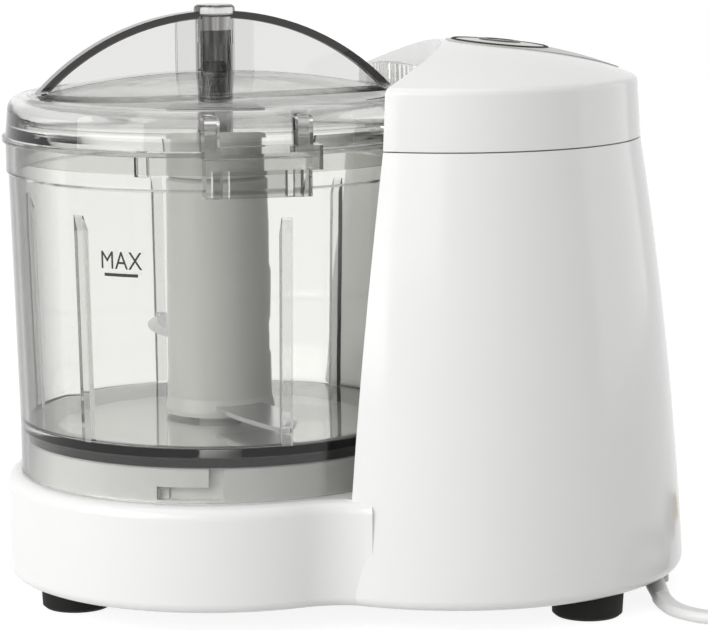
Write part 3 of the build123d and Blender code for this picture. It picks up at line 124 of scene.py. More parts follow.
class ChopperShapes(PropertyGroup):
    grip_angle: angle_prop("Grip angle", "Turn of the grip and the arch round the bowl's axis", 8.5)
    arch_r: length_prop("Arch radius", "Radius of the top of the lid's arch", 0.0635)
    arch_z: length_prop("Arch centre", "Height of the centre of that radius", 0.0907)
    flange: length_prop("Arch flange", "Thickness of the flange along the arch", 0.0019)
    lid_r: length_prop("Lid radius", "Radius of the lid's flange, outside which the grip stands", 0.0559)
    tube_r: length_prop("Tube radius", "Radius of the tube in the middle of the lid", 0.00495)
    pin_r: length_prop("Pin radius", "Radius of the hub's pin", 0.0032)
    wall_r: length_prop("Wall radius", "Radius of the bowl's wall at its foot", 0.05275)
    wall_lean: length_prop("Wall lean", "How much further out the wall stands under the rim", 0.00165)
    wall_low: length_prop("Wall foot", "Height of the wall's foot", 0.0455)
    wall_high: length_prop("Wall top", "Height of the rim's underside", 0.1126)
    collar_r: length_prop("Collar radius", "Outer radius of the hub's collar", 0.01325)
    collar_bore: length_prop("Collar bore", "Radius inside the hub's collar, clear of the lid's tube", 0.0056)
    dome_x: length_prop("Dome place", "How far to the right the middle of the tower's domed top is", 0.0293)
    dome_z: length_prop("Dome centre", "Height of the centre of the dome's radius", 0.0211)
    dome_r: length_prop("Dome radius", "Radius of the tower's domed top", 0.125)
    mark_angle: angle_prop("Fill mark angle", "Middle of the fill mark, round the bowl from its front", -28.1)
    mark_z: length_prop("Fill mark height", "Height of the fill line", 0.0915)
    mark_size: length_prop("Fill mark letters", "Height of the fill mark's letters", 0.0046)
    mark_half: length_prop("Fill line", "Half the length of the fill line", 0.0047)


class ChopperLead(PropertyGroup):
    width: length_prop("Width", "Width of the flat twin lead", 0.0052, 0.002, 0.01)
    thickness: length_prop("Thickness", "Thickness of the flat twin lead", 0.0032, 0.001, 0.008)
    pitch: length_prop("Turn spacing", "Distance between turns that lie side by side", 0.0058, 0.003, 0.02)
    layer: length_prop("Layer height", "Height of one layer of turns", 0.0036, 0.002, 0.01)


class ChopperStudio(PropertyGroup):
    distance: length_prop("Camera distance", "From the middle of the view to the camera", 0.795, 0.2, 3.0)
    azimuth: angle_prop("Azimuth", "Camera's angle round the machine, to the left of the front", 4.27)
    elevation: angle_prop("Elevation", "Camera's angle above the worktop", 8.91)
    roll: angle_prop("Roll", "How far the camera leans", -0.39)
    lens: FloatProperty(name="Lens", description="Focal length", default=152.5, min=20, max=300,
                        subtype="DISTANCE_CAMERA", unit="CAMERA")
    key: power_prop("Key light", "Power of the soft box on the left", 14.5)
    rim: power_prop("Rim light", "Power of the soft box behind on the right", 3.4)
    top: power_prop("Top light", "Power of the soft box overhead", 4.2)
    fill: power_prop("Fill light", "Power of the soft box beside the camera", 3.4)
    sky: FloatProperty(name="Surround", description="Strength of the surround as light", default=0.45,
                       min=0, max=1)


# ---------------------------------------------------------------- materials
def add_node(tree, kind, inputs=None, **settings):
    """Adds a shader node. Inputs go by name or index to the socket that feeds each, or to its value. A
    setting is the node's own property or, if it has none of that name, an input's value, with _ for a space."""
    node = tree.nodes.new("ShaderNode" + kind)
    for key, value in settings.items():
        if hasattr(node, key):
            setattr(node, key, value)
        else:
            node.inputs[key.replace("_", " ")].default_value = value
    for key, source in (inputs or {}).items():
        if isinstance(source, bpy.types.NodeSocket):
            tree.links.new(source, node.inputs[key])
        else:
            node.inputs[key].default_value = source
    return node


def new_material(name):
    """An empty node material and its tree."""
    material = bpy.data.materials.new(name)
    material.use_nodes = True
    material.node_tree.nodes.clear()
    return material, material.node_tree


def close_material(tree, shader):
    """Ends a material with the shader that its surface has."""
    add_node(tree, "OutputMaterial", {"Surface": shader})


def grain(tree, size, detail=2.0):
    """Noise over the piece whose blotches are about size metres across."""
    place = add_node(tree, "TexCoord").outputs["Object"]
    return add_node(tree, "TexNoise", {"Vector": place}, Scale=1 / size, Detail=detail).outputs["Fac"]


def zone(tree, amount, *ramps, unit=MM):
    """Amount, a number or a socket, where every ramp is full, falling to 0 where any is empty. A ramp is what
    is measured, where it is empty and where it is full."""
    share = amount
    for measure, empty, full in ramps:
        ramp = add_node(tree, "MapRange", {"Value": measure}, From_Min=empty * unit, From_Max=full * unit)
        share = add_node(tree, "Math", {0: share, 1: ramp.outputs["Result"]}, operation="MULTIPLY").outputs[0]
    return share


def shade(tree, colour, value, amount):
    """Colour varied darker and lighter by amount as value runs from 0 to 1."""
    dark = tuple(c * (1 - amount) for c in colour)
    light = tuple(min(1, c * (1 + amount)) for c in colour)
    ramp = add_node(tree, "ValToRGB", {"Fac": value})
    ramp.color_ramp.elements[0].position, ramp.color_ramp.elements[0].color = 0.3, (*dark, 1)
    ramp.color_ramp.elements[1].position, ramp.color_ramp.elements[1].color = 0.7, (*light, 1)
    return ramp.outputs["Color"]


def moulded(name, colour, rough=0.25, skin=0.0004, depth=0.000004, spread=0.02, ior=1.5):
    """Injection-moulded thermoplastic: even colour, a faint skin from the tool and slightly uneven gloss."""
    material, tree = new_material(name)
    blotch = grain(tree, 0.02)
    gloss = add_node(tree, "MapRange", {"Value": blotch}, To_Min=rough * 0.9, To_Max=rough * 1.1)
    bump = add_node(tree, "Bump", {"Height": grain(tree, skin, detail=1.0)}, Strength=1.0, Distance=depth)
    close_material(tree, add_node(
        tree, "BsdfPrincipled",
        {"Base Color": shade(tree, colour, blotch, spread), "Roughness": gloss.outputs["Result"],
         "Normal": bump.outputs["Normal"]}, IOR=ior).outputs["BSDF"])
    return material


def glossy_abs(name, colour):
    """White ABS from a polished mould: a hard shine over pale plastic, with a long faint cooling ripple."""
    material, tree = new_material(name)
    blotch = grain(tree, 0.03)
    gloss = add_node(tree, "MapRange", {"Value": blotch}, To_Min=0.13, To_Max=0.17)
    bump = add_node(tree, "Bump", {"Height": grain(tree, 0.012, detail=1.0)}, Strength=0.5, Distance=0.00003)
    close_material(tree, add_node(
        tree, "BsdfPrincipled",
        {"Base Color": shade(tree, colour, blotch, 0.006), "Roughness": gloss.outputs["Result"],
         "Normal": bump.outputs["Normal"]}, IOR=1.52).outputs["BSDF"])
    return material


def clear_styrene(name, finish, shapes):
    """Clear SAN from a polished mould. Its thin walls are nearly colourless. Its thick parts, such as the
    arch's flange, the tube and the grip, and walls seen edge on are tinted smoky grey, partly for thick plastic
    and partly as painted shade for the dark surroundings seen through them. Lamps shine through it."""
    material, tree = new_material(name)
    # places are taken from the bowl's axis, with -Y running out through the grip
    turn = Matrix.Rotation(-shapes.grip_angle, 3, "Z")
    place = add_node(tree, "TexCoord").outputs["Object"]
    across = add_node(tree, "Mapping", {"Vector": place}, Rotation=(0, 0, -shapes.grip_angle),
                      Location=-(turn @ Vector((bowl_axis.x, bowl_axis.y, 0)))).outputs["Vector"]
    split = add_node(tree, "SeparateXYZ", {"Vector": across})
    along, high = split.outputs["Y"], split.outputs["Z"]
    beside_fin = add_node(tree, "Math", {0: along}, operation="ABSOLUTE").outputs[0]
    beside_tube = add_node(tree, "Math", {0: split.outputs["X"]}, operation="ABSOLUTE").outputs[0]
    flat = add_node(tree, "Mapping", {"Vector": across}, Scale=(1, 1, 0)).outputs["Vector"]
    out = add_node(tree, "VectorMath", {0: flat}, operation="LENGTH").outputs["Value"]
    upright = add_node(tree, "Mapping", {"Vector": across}, Scale=(1, 0, 1),
                       Location=(0, 0, -shapes.arch_z)).outputs["Vector"]
    from_arch = add_node(tree, "VectorMath", {0: upright}, operation="LENGTH").outputs["Value"]
    lean = zone(tree, shapes.wall_lean, (high, shapes.wall_low, shapes.wall_high), unit=1)
    wall = add_node(tree, "Math", {0: out, 1: lean}, operation="SUBTRACT").outputs[0]
    # the tube gets long dark streaks of painted reflection, for the dark surroundings seen in it
    streak_stretch = add_node(tree, "Mapping", {"Vector": across}, Scale=(1 / 0.0016, 1 / 0.0016, 1 / 0.09))
    reflection_streaks = add_node(tree, "TexNoise", {"Vector": streak_stretch.outputs["Vector"]}, Scale=1.0, Detail=1.0)
    streaked_reflection = add_node(tree, "MapRange", {"Value": reflection_streaks.outputs["Fac"]}, From_Min=0.4, From_Max=0.6,
                        To_Min=0.5, To_Max=0.92).outputs["Result"]
    # how much smoke and painted shade each thick part gets, and where it lies in mm
    rim, tube_r, lid_r = bowl_top / MM, shapes.tube_r / MM, shapes.lid_r / MM
    flange_r = (shapes.arch_r - shapes.flange) / MM
    over_plate = (high, rim + 12.6, rim + 13.2)
    in_fin = (beside_fin, 3.4, 3.2)
    at_wall = (wall, 52.6, 52.9)
    thick = (
        zone(tree, 0.13, over_plate, in_fin),                                            # fin
        zone(tree, 0.24, over_plate, in_fin, (beside_tube, 10.3, 10.1)),                 # its web
        zone(tree, 1.0, over_plate, in_fin, (from_arch, flange_r - 0.3, flange_r)),      # arch's flange
        zone(tree, streaked_reflection, (out, tube_r + 0.5, tube_r + 0.3)),                         # tube
        zone(tree, 0.38, (along, 0.5 - lid_r, -0.1 - lid_r)),                            # grip
        zone(tree, 0.55, (beside_tube, 9.35, 9.5), (beside_tube, 13.85, 13.7),
             (high, rim - 0.15, rim), (high, rim + 11.15, rim + 11), (along, -49, -50)), # grip's ears
        zone(tree, 0.6, at_wall, (high, rim - 8.75, rim - 8.6),
             (high, rim - 7.65, rim - 7.8)),                                             # rim's lower edge
        zone(tree, 0.6, at_wall, (high, rim + 0.15, rim + 0.3),
             (high, rim + 1.45, rim + 1.3)),                                             # lid's flange
        zone(tree, 0.35, (wall, 50.5, 50.2), (out, 40, 41), (high, 47.6, 48)),           # ribs in the bowl
        zone(tree, 0.22, (high, 45.6, 45.2)),                                            # skirt
    )
    # upright walls seen edge on get darker, partly for the long path through the plastic and partly as painted
    # shade
    facing = add_node(tree, "LayerWeight", Blend=0.5).outputs["Facing"]
    normal = add_node(tree, "SeparateXYZ", {"Vector": add_node(tree, "NewGeometry").outputs["Normal"]})
    level = add_node(tree, "Math", {0: normal.outputs["Z"]}, operation="ABSOLUTE").outputs[0]
    # share of the smoke colour in the tint: partly thick plastic, partly painted shade
    thick_tint_and_shade_share = zone(tree, 1.0, (facing, 0.36, 0.8), (level, 0.75, 0.2), unit=1)
    for part in thick:
        thick_tint_and_shade_share = add_node(tree, "Math", {0: thick_tint_and_shade_share, 1: part}, operation="MAXIMUM").outputs[0]
    # a colour Mix has its two colours at inputs 6 and 7 and its result at output 2
    tint = add_node(tree, "Mix", {"Factor": thick_tint_and_shade_share, 6: (*finish.clear, 1), 7: (*finish.smoke_and_shade, 1)},
                    data_type="RGBA").outputs[2]
    bump = add_node(tree, "Bump", {"Height": grain(tree, 0.01, detail=1.0)}, Strength=0.4, Distance=0.00004)
    body = add_node(tree, "BsdfPrincipled", {"Base Color": tint, "Normal": bump.outputs["Normal"]},
                    Roughness=0.02, IOR=1.45, Transmission_Weight=1.0)
    pane = add_node(tree, "BsdfTransparent", Color=(0.95, 0.95, 0.95, 1))
    shadow_ray = add_node(tree, "LightPath").outputs["Is Shadow Ray"]
    close_material(tree, add_node(
        tree, "MixShader", {0: shadow_ray, 1: body.outputs["BSDF"],
                            2: pane.outputs["BSDF"]}).outputs["Shader"])
    return material


def rubber(name, colour):
    """Black moulded rubber: dull, with a fine dusty bloom."""
    return moulded(name, colour, rough=0.7, skin=0.0006, depth=0.00002, spread=0.25, ior=1.35)


def printed(name, colour):
    """Pad-printed ink: flat and slightly uneven, with less shine than the plastic under it."""
    return moulded(name, colour, rough=0.5, skin=0.0003, depth=0.000003, spread=0.12)


def brushed(name, colour, rough=0.28, along=(0.0003, 0.006, 0.0003)):
    """Ground or stamped metal, its fine lines running one way."""
    material, tree = new_material(name)
    place = add_node(tree, "TexCoord").outputs["Object"]
    stretched = add_node(tree, "Mapping", {"Vector": place}, Scale=tuple(1 / a for a in along))
    marks = add_node(tree, "TexNoise", {"Vector": stretched.outputs["Vector"]}, Scale=1.0, Detail=2.0)
    lines = marks.outputs["Fac"]
    gloss = add_node(tree, "MapRange", {"Value": lines}, To_Min=rough * 0.8, To_Max=rough * 1.3)
    bump = add_node(tree, "Bump", {"Height": lines}, Strength=0.5, Distance=0.00001)
    close_material(tree, add_node(
        tree, "BsdfPrincipled",
        {"Base Color": shade(tree, colour, lines, 0.06), "Roughness": gloss.outputs["Result"],
         "Normal": bump.outputs["Normal"]}, Metallic=1.0).outputs["BSDF"])
    return material


def finish_nodes(material, *names):
    """Gives CAD nodes one finish."""
    for name in names:
        mesh = nodes[name].data
        mesh.materials.clear()
        mesh.materials.append(material)


# ---------------------------------------------------------------- pieces
def place_piece(name, mesh, material, body):
    """Links a mesh or curve as a piece that rides on a body."""
    piece = bpy.data.objects.new(name, mesh)
    bpy.context.scene.collection.objects.link(piece)
    if material is not None:
        mesh.materials.append(material)
    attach(piece, body)
    return piece


def mesh_from(name, make):
    """A smooth mesh that make(bm) fills in, with its corners of over 35 degrees kept sharp."""
    bm = bmesh.new()
    make(bm)
    bmesh.ops.recalc_face_normals(bm, faces=bm.faces)
    mesh = bpy.data.meshes.new(name)
    for face in bm.faces:
        face.smooth = True
    for edge in bm.edges:
        if len(edge.link_faces) == 2 and edge.calc_face_angle(0) > radians(35):
            edge.smooth = False
    bm.to_mesh(mesh)
    bm.free()
    return mesh


def skin_rings(bm, rings, closed_ends=True):
    """Joins rings of points, each with the same count, into a closed skin."""
    loops = [[bm.verts.new(p) for p in ring] for ring in rings]
    count = len(loops[0])
    for a, b in zip(loops, loops[1:]):
        for i in range(count):
            bm.faces.new((a[i], a[(i + 1) % count], b[(i + 1) % count], b[i]))
    if closed_ends:
        bm.faces.new(loops[0])
        bm.faces.new(loops[-1])


def turned(bm, centre, profile):
    """A turning about an upright axis, from a profile of (radius, height) points. A profile that ends where
    it began makes a ring, and any other is closed across its ends."""
    count = 64
    ring = profile[0] == profile[-1]
    skin_rings(bm, [[(centre.x + r * cos(2 * pi * i / count), centre.y + r * sin(2 * pi * i / count), z)
                     for i in range(count)] for r, z in profile], closed_ends=not ring)
    if ring:
        bmesh.ops.remove_doubles(bm, verts=bm.verts, dist=1e-7)


# ---------------------------------------------------------------- steps
class CHOPPER_OT_shell(Operator):
    """Finish the white housing, cap and the mouldings behind them"""
    bl_idname = "chopper.shell"
    bl_label = "White shell"

    def execute(self, context):
        finish = context.scene.chopper_finish
        # clean white with a hard shine, as on the outside of a kitchen machine
        finish_nodes(glossy_abs("ABS_polished_white", tuple(finish.shell)), "upper_housing", "tower_cap")
        # duller and a little greyer white underneath
        satin = moulded("ABS_satin_white", tuple(finish.under), rough=0.4)
        finish_nodes(satin, "base_plate", "switch_bracket")
        return {"FINISHED"}


class CHOPPER_OT_clear(Operator):
    """Finish the clear bowl and lid"""
    bl_idname = "chopper.clear"
    bl_label = "Clear bowl and lid"

    def execute(self, context):
        clear = clear_styrene("SAN_clear", context.scene.chopper_finish, context.scene.chopper_shapes)
        finish_nodes(clear, "bowl", "lid")
        return {"FINISHED"}


class CHOPPER_OT_fill_mark(Operator):
    """Print the fill mark on the bowl's wall: its word over a line"""
    bl_idname = "chopper.fill_mark"
    bl_label = "Fill mark"

    def execute(self, context):
        finish, shapes = context.scene.chopper_finish, context.scene.chopper_shapes
        text = bpy.data.curves.new("fill_mark_word", "FONT")
        text.body = "MAX"
        text.size = shapes.mark_size / 0.72      # capitals are 0.72 of the type's size
        text.align_x = "CENTER"
        text.extrude = 0.00002
        text.space_character = 1.04
        text.resolution_u = 2
        word = bpy.data.objects.new("fill_mark_word", text)
        context.scene.collection.objects.link(word)
        context.view_layer.update()
        bm = bmesh.new()
        bm.from_mesh(bpy.data.meshes.new_from_object(word.evaluated_get(context.evaluated_depsgraph_get())))
        bpy.data.objects.remove(word)
        for vert in bm.verts:
            vert.co.x *= 0.84
            vert.co.y += 1.5 * MM
        # the line under it, in short lengths that follow the wall
        wide, thick = 0.4 * MM, 0.02 * MM
        section = ((-wide, -thick), (wide, -thick), (wide, thick), (-wide, thick))
        skin_rings(bm, [[(shapes.mark_half * (i / 6 - 1), y, z) for y, z in section] for i in range(13)])
        # wrapped on the wall, which leans out
        slope = shapes.wall_lean / (shapes.wall_high - shapes.wall_low)
        for vert in bm.verts:
            z = shapes.mark_z + vert.co.y
            r = shapes.wall_r + (z - shapes.wall_low) * slope + 0.03 * MM + vert.co.z
            angle = shapes.mark_angle + vert.co.x / r
            vert.co = (bowl_axis.x + r * sin(angle), bowl_axis.y - r * cos(angle), z)
        mesh = bpy.data.meshes.new("fill_mark")
        bmesh.ops.recalc_face_normals(bm, faces=bm.faces)
        bm.to_mesh(mesh)
        bm.free()
        # matt black ink
        place_piece("fill_mark", mesh, printed("Ink_black", tuple(finish.ink)), "bowl")
        return {"FINISHED"}


class CHOPPER_OT_hub(Operator):
    """Finish the blade hub, its steel pin and the stamped blades"""
    bl_idname = "chopper.hub"
    bl_label = "Hub and blades"

    def execute(self, context):
        finish, shapes = context.scene.chopper_finish, context.scene.chopper_shapes
        # pale grey hub with a soft shine
        hub_grey = moulded("ABS_pale_grey", tuple(finish.hub), rough=0.3)
        finish_nodes(hub_grey, "blade_hub")
        # darker slippery grey of the bush that the hub's pin turns in
        finish_nodes(moulded("Acetal_grey", linear("8B8986"), rough=0.35), "lid_bush")
        # bright ground blades
        finish_nodes(brushed("Stainless_ground", linear("C9C9CB"), rough=0.2), "lower_blade", "upper_blade")
        # steel of the pin, made darker as painted shade for the dark seen down the lid's tube, its grinding
        # marks running up it
        steel = brushed("Steel_pin_ground", linear("8C8B8A"), rough=0.3, along=(0.0004, 0.0004, 0.006))
        r, foot = shapes.pin_r + 0.03 * MM, bowl_top - 6.5 * MM
        pin = mesh_from("hub_pin_sleeve", lambda bm: turned(bm, bowl_axis, (
            (r, foot), (r, hub_tip - 0.8 * MM), (r - 0.8 * MM, hub_tip + 0.03 * MM))))
        place_piece("hub_pin_sleeve", pin, steel, "drive")
        # collar that carries the hub on up round the lid's tube, with a rounded top
        outer, bore = shapes.collar_r, shapes.collar_bore
        foot, top = bowl_top - 9.6 * MM, bowl_top + 9.5 * MM
        collar = mesh_from("hub_collar", lambda bm: turned(bm, bowl_axis, (
            (bore, foot), (outer, foot), (outer - 0.15 * MM, top - 2.4 * MM),
            (outer - 0.85 * MM, top - 0.7 * MM), (outer - 2.55 * MM, top), (bore + 0.6 * MM, top),
            (bore, top - 0.6 * MM), (bore, foot))))
        place_piece("hub_collar", collar, hub_grey, "drive")
        return {"FINISHED"}


class CHOPPER_OT_button(Operator):
    """Finish the push button and the drop-shaped panel, and let the power sign into the button"""
    bl_idname = "chopper.button"
    bl_label = "Button and panel"

    def execute(self, context):
        finish, shapes = context.scene.chopper_finish, context.scene.chopper_shapes
        # satin grey panel, and a paler button in it
        finish_nodes(moulded("ABS_grey_satin_panel", tuple(finish.panel), rough=0.34), "button_panel")
        finish_nodes(moulded("ABS_grey_satin_button", tuple(finish.button), rough=0.3), "power_button",
                     "interlock_plunger")

        def on_dome(x, y, lift):
            drop = shapes.dome_r ** 2 - (x - shapes.dome_x) ** 2 - y ** 2
            return x, y, shapes.dome_z + sqrt(drop) + lift

        def ring(bm, section):
            """A ring on the dome round the button's axis, from a section of (radius, lift) points in mm."""
            count = 96
            loops = []
            for i in range(count):
                a = 2 * pi * i / count
                loops.append([bm.verts.new(on_dome(
                    button_axis.x + r * MM * cos(a), button_axis.y + r * MM * sin(a), lift * MM))
                    for r, lift in section])
            for a, b in zip(loops, loops[1:] + loops[:1]):
                for k in range(len(section)):
                    after = (k + 1) % len(section)
                    bm.faces.new((a[k], a[after], b[after], b[k]))

        def bar(bm):
            half_w, half_l = 0.55 * MM, 2.3 * MM
            outline = [(half_w * x, half_l * y) for x, y in ((-1, -1), (-0.5, -1.12), (0.5, -1.12), (1, -1),
                                                             (1, 1), (0.5, 1.12), (-0.5, 1.12), (-1, 1))]
            levels = ((1, -0.3 * MM), (1, 0.06 * MM), (0.75, 0.13 * MM))
            skin_rings(bm, [[on_dome(button_axis.x + x * k, button_axis.y + y * (k + 1) / 2, lift)
                             for x, y in outline] for k, lift in levels])

        # dark grey sign let into the button, and round it a dark ring as painted shade for the shadow in the gap
        # between the button and the panel
        ink = moulded("ABS_dark_grey_inlay", tuple(finish.sign), rough=0.35)
        sign = ((3.9, -0.8), (3.9, 0.2), (4.0, 0.32), (5.4, 0.32), (5.5, 0.2), (5.5, -0.8))
        # section of the dark ring that stands as painted shade in the button's gap
        gap_shade = ((12.0, -0.6), (12.0, 0.1), (12.3, 0.28), (12.7, 0.2), (12.9, -0.05), (12.9, -0.6))
        place_piece("power_sign_ring", mesh_from("power_sign_ring", lambda bm: ring(bm, sign)), ink, "button")
        place_piece("button_gap_shade_ring", mesh_from("button_gap_shade_ring", lambda bm: ring(bm, gap_shade)),
                    rubber("Painted_shade_button_gap", linear("24231F")), "machine")
        place_piece("power_sign_bar", mesh_from("power_sign_bar", bar), ink, "button")
        return {"FINISHED"}


class CHOPPER_OT_rubber(Operator):
    """Finish the feet and the ring that the bowl stands on"""
    bl_idname = "chopper.rubber"
    bl_label = "Feet and ring"

    def execute(self, context):
        # dull black; on the ring under the bowl the black is also painted shade for the dark band at the bowl's
        # floor edge
        black = rubber("Rubber_black_and_band_shade", tuple(context.scene.chopper_finish.rubber))
        finish_nodes(black, "damper_ring")
        # each foot is a broad pad with a neck that is pulled through the base plate
        pad = ((8.3 * MM, 0.0), (9.1 * MM, 0.7 * MM), (9.4 * MM, 6.0 * MM), (9.2 * MM, 6.5 * MM))
        neck = ((3.2 * MM, 6.4 * MM), (3.2 * MM, 9.2 * MM), (4.3 * MM, 9.2 * MM), (4.0 * MM, 10.3 * MM))

        def feet(bm):
            for neck_x, pad_x, y in ((-70.7, -72.1, 17.0), (57.3, 59.3, 39.0)):
                for side in (-1, 1):
                    turned(bm, Vector((pad_x, side * y, 0)) * MM, pad)
                    turned(bm, Vector((neck_x, side * y, 0)) * MM, neck)

        pads = place_piece("foot_pads", mesh_from("foot_pads", feet), black, "machine")
        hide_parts("rubber_feet")
        return {"FINISHED"}


class CHOPPER_OT_works(Operator):
    """Finish the motor, gears, shafts, switches and screws inside"""
    bl_idname = "chopper.works"
    bl_label = "Works inside"

    def execute(self, context):
        # milky white gears
        finish_nodes(moulded("Acetal_natural", linear("EDEADF"), rough=0.35), "spindle_gear", "idler_gear",
                     "drive_hex")
        # bright turned steel
        finish_nodes(brushed("Steel_bright", linear("BFC0C3")), "spindle", "motor_shaft", "idler_pin",
                     "base_screws", "bracket_screws", "motor_screws", "cap_screws", "spindle_clip",
                     "idler_clip", "button_spring", "interlock_spring")
        # duller, bluish plated sheet
        finish_nodes(brushed("Steel_zinc_plated", linear("A9ABAD"), rough=0.35), "motor_can", "motor_bracket")
        # warm brown, slightly porous
        finish_nodes(brushed("Bronze_sintered", linear("A8824E"), rough=0.4), "lower_bush", "upper_bush",
                     "motor_pinion")
        # dark, uneven and dull
        finish_nodes(moulded("Ferrite_and_laminations", linear("3A3634"), rough=0.55, spread=0.15), "magnets",
                     "armature")
        # near black, half matt
        finish_nodes(moulded("Phenolic_black", linear("1E1D1C"), rough=0.45), "motor_end_cap", "power_switch",
                     "interlock_switch")
        # green lacquer
        finish_nodes(moulded("Circuit_board_green", linear("1F5A33"), rough=0.35), "rectifier_board")
        return {"FINISHED"}


class CHOPPER_OT_lead(Operator):
    """Lay the flat mains lead from its outlet to the coil beside the machine and on to the plug"""
    bl_idname = "chopper.lead"
    bl_label = "Mains lead"

    def execute(self, context):
        lead = context.scene.chopper_lead
        # soft white sheath, half matt and a little wavy
        pvc = moulded("PVC_soft_white", linear("ECECEA"), rough=0.42, skin=0.0008, depth=0.00001)
        # the lead's route along the worktop, from the sleeve to where the coil starts
        route = [(0.0799, -0.0330, 0.0019), (0.0799, -0.0425, 0.0019), (0.0848, -0.0510, 0.0019),
                 (0.0933, -0.0560, 0.0019), (0.1079, -0.0575, 0.0019), (0.1269, -0.0556, 0.0019)]
        # the coil: two turns side by side on the worktop, then the rest on top of them
        low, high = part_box("cord_coil")
        middle = (low + high) / 2
        outer = (high.x - low.x) / 2 - 0.0027
        steps = 12                # points in each turn
        turns = 3.25
        corner_cut = 0.983        # the smooth line's radius against that of its points
        for i in range(1, int(turns * steps)):
            at = i / steps
            inward = min(1.0, at) if at < 2 else max(0.0, 3 - at)
            lift = min(1.0, max(0.0, (at - 2) * 6)) if at >= 2 else 0.0
            r = (outer - lead.pitch * inward) / corner_cut
            angle = -pi / 2 + 2 * pi * at
            route.append((middle.x + r * cos(angle), middle.y + r * sin(angle), 0.0019 + lead.layer * lift))
        # off the coil, down to the worktop and on to the plug
        route += [(0.1724, -0.0215, 0.0055), (0.1724, -0.0135, 0.0047), (0.1712, -0.0035, 0.0033),
                  (0.1676, 0.0065, 0.0021), (0.1609, 0.0165, 0.0019)]
        data = bpy.data.curves.new("mains_lead", "CURVE")
        data.dimensions = "3D"
        data.twist_mode = "Z_UP"
        spline = data.splines.new("NURBS")
        spline.points.add(len(route) - 1)
        for point, place in zip(spline.points, route):
            point.co = (*place, 1)
        spline.order_u = 3
        spline.use_endpoint_u = True
        spline.resolution_u = 6
        # section of the flat twin lead: two cores with a shallow groove between them
        section_data = bpy.data.curves.new("mains_lead_section", "CURVE")
        section_data.dimensions = "2D"
        outline = section_data.splines.new("POLY")
        shape = []
        for i in range(24):
            a = 2 * pi * i / 24
            side = (lead.width - lead.thickness) / 2 * (1 if cos(a) > 0 else -1)
            dip = 0.0003 * max(0.0, 1 - abs(cos(a)) * 3)
            shape.append((side + lead.thickness / 2 * cos(a), (lead.thickness / 2 - dip) * sin(a)))
        outline.points.add(len(shape) - 1)
        for point, (x, y) in zip(outline.points, shape):
            point.co = (x, y, 0, 1)
        outline.use_cyclic_u = True
        section = bpy.data.objects.new("mains_lead_section", section_data)
        context.scene.collection.objects.link(section)
        section.hide_render = True
        section.hide_viewport = True
        data.bevel_mode = "OBJECT"
        data.bevel_object = section
        data.use_fill_caps = True
        piece = place_piece("mains_lead", data, pvc, "machine")
        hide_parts("cord", "cord_coil", "cord_tail")
        finish_nodes(pvc, "plug_body", "strain_relief")
        # yellow plated pins
        finish_nodes(brushed("Brass_plated", linear("C9B46E"), rough=0.25), "plug_pins")
        return {"FINISHED"}


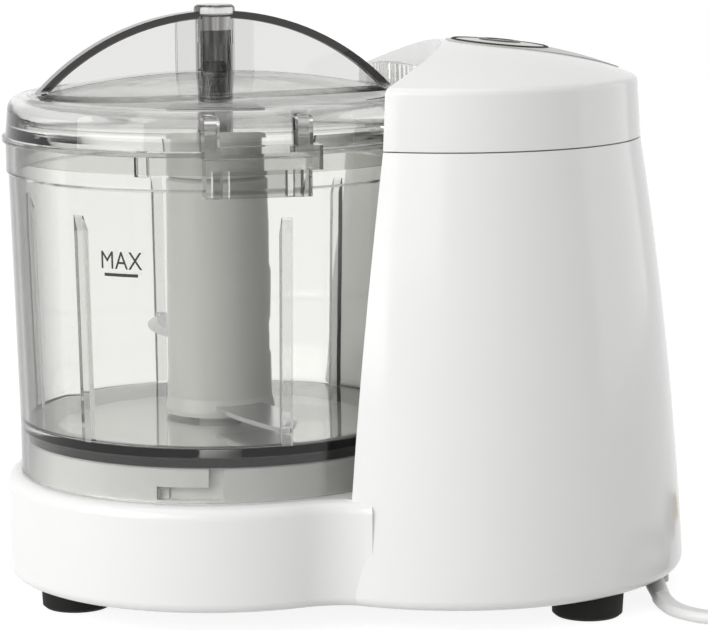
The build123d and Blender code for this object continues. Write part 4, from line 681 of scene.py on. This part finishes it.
class CHOPPER_OT_stage(Operator):
    """Set up the worktop, the soft boxes, the pale surround and the camera"""
    bl_idname = "chopper.stage"
    bl_label = "Studio"

    def execute(self, context):
        studio = context.scene.chopper_studio
        scene = context.scene
        scene.view_settings.view_transform = "Standard"

        def seen_ray(tree):
            """1 for the camera's rays and those that shiny or clear surfaces pass on, but 0 after a dull one."""
            path = add_node(tree, "LightPath")
            seen = path.outputs["Is Camera Ray"]
            for kind in ("Is Transmission Ray", "Is Glossy Ray"):
                either = add_node(tree, "Math", {0: seen, 1: path.outputs[kind]}, operation="MAXIMUM")
                seen = either.outputs[0]
            direct = add_node(tree, "Math", {0: path.outputs["Diffuse Depth"], 1: 0.5}, operation="LESS_THAN")
            return add_node(tree, "Math", {0: seen, 1: direct.outputs[0]}, operation="MULTIPLY").outputs[0]

        # worktop: pale, with the machine's shadow, and white to the camera
        material, tree = new_material("Worktop_white")
        diffuse = add_node(tree, "BsdfDiffuse", Color=(0.7, 0.7, 0.7, 1))
        shadow = add_node(tree, "BsdfDiffuse", Color=(0.25, 0.25, 0.25, 1))
        glow = add_node(tree, "Emission", Strength=0.89)
        lit = add_node(tree, "AddShader", {0: shadow.outputs[0], 1: glow.outputs[0]})
        close_material(tree, add_node(tree, "MixShader", {0: seen_ray(tree), 1: diffuse.outputs[0],
                                                          2: lit.outputs[0]}).outputs["Shader"])
        floor_mesh = mesh_from("worktop", lambda bm: bmesh.ops.create_grid(bm, x_segments=1, y_segments=1,
                                                                           size=3.0))
        floor_mesh.materials.append(material)
        floor = bpy.data.objects.new("worktop", floor_mesh)
        scene.collection.objects.link(floor)

        # soft boxes
        for name, place, aim, size, power in (
                ("soft_box_left", (-1.3, -0.72, 0.66), (0.03, 0, 0.08), (1.2, 1.2), studio.key),
                ("soft_box_rim", (1.25, 0.25, 0.2), (0.03, 0, 0.05), (1.2, 1.0), studio.rim),
                ("soft_box_top", (-0.1, -0.1, 1.5), (0, 0, 0), (1.2, 1.2), studio.top),
                ("soft_box_front", (-0.7, -1.4, 0.7), (0.03, 0, 0.07), (0.9, 0.9), studio.fill)):
            lamp = bpy.data.lights.new(name, "AREA")
            lamp.shape = "RECTANGLE"
            lamp.size, lamp.size_y = size
            lamp.energy = power
            box = bpy.data.objects.new(name, lamp)
            scene.collection.objects.link(box)
            box.location = place
            box.rotation_mode = "QUATERNION"
            box.rotation_quaternion = (Vector(aim) - Vector(place)).to_track_quat("-Z", "Y")

        # surround: white to the camera and in what is seen through or in a surface, softer as light
        world = bpy.data.worlds.new("surround")
        scene.world = world
        world.use_nodes = True
        tree = world.node_tree
        tree.nodes.clear()
        soft = add_node(tree, "Background", Color=(1, 1, 1, 1), Strength=studio.sky)
        white = add_node(tree, "Background", Color=(1, 1, 1, 1), Strength=1.0)
        mixed = add_node(tree, "MixShader", {0: seen_ray(tree), 1: soft.outputs[0], 2: white.outputs[0]})
        add_node(tree, "OutputWorld", {"Surface": mixed.outputs["Shader"]})

        # camera
        data = bpy.data.cameras.new("camera")
        data.lens = studio.lens
        data.sensor_width = 36.0
        data.clip_start, data.clip_end = 0.05, 20.0
        camera = bpy.data.objects.new("camera", data)
        scene.collection.objects.link(camera)
        middle = Vector((0.00213, -0.00268, 0.0734))     # the point at the middle of the view
        away = cos(studio.elevation)
        back = Vector((-sin(studio.azimuth) * away, -cos(studio.azimuth) * away, sin(studio.elevation)))
        camera.location = middle + back * studio.distance
        camera.rotation_mode = "QUATERNION"
        camera.rotation_quaternion = (-back).to_track_quat("-Z", "Y") @ Quaternion((0, 0, 1), studio.roll)
        scene.camera = camera
        return {"FINISHED"}


class CHOPPER_PT_sidebar(Panel):
    """Lists the chopper's settings and steps"""
    bl_idname = "CHOPPER_PT_sidebar"
    bl_label = "Food chopper"
    bl_space_type = "VIEW_3D"
    bl_region_type = "UI"
    bl_category = "Chopper"

    def draw(self, context):
        layout = self.layout
        for group in groups:
            settings = getattr(context.scene, group)
            box = layout.box()
            for key in type(settings).__annotations__:
                box.prop(settings, key)
        for step in steps:
            layout.operator(step.bl_idname)


groups = {"chopper_finish": ChopperFinish, "chopper_shapes": ChopperShapes, "chopper_lead": ChopperLead,
          "chopper_studio": ChopperStudio}
steps = [CHOPPER_OT_shell, CHOPPER_OT_clear, CHOPPER_OT_fill_mark, CHOPPER_OT_hub, CHOPPER_OT_button,
         CHOPPER_OT_rubber, CHOPPER_OT_works, CHOPPER_OT_lead, CHOPPER_OT_stage]


def register():
    for cls in (*groups.values(), *steps, CHOPPER_PT_sidebar):
        bpy.utils.register_class(cls)
    for name, cls in groups.items():
        setattr(bpy.types.Scene, name, PointerProperty(type=cls))


def unregister():
    for name in groups:
        delattr(bpy.types.Scene, name)
    for cls in reversed((*groups.values(), *steps, CHOPPER_PT_sidebar)):
        bpy.utils.unregister_class(cls)


def main():
    register()
    for step in steps:
        family, name = step.bl_idname.split(".")
        getattr(getattr(bpy.ops, family), name)()


if __name__ == "__main__":
    main()
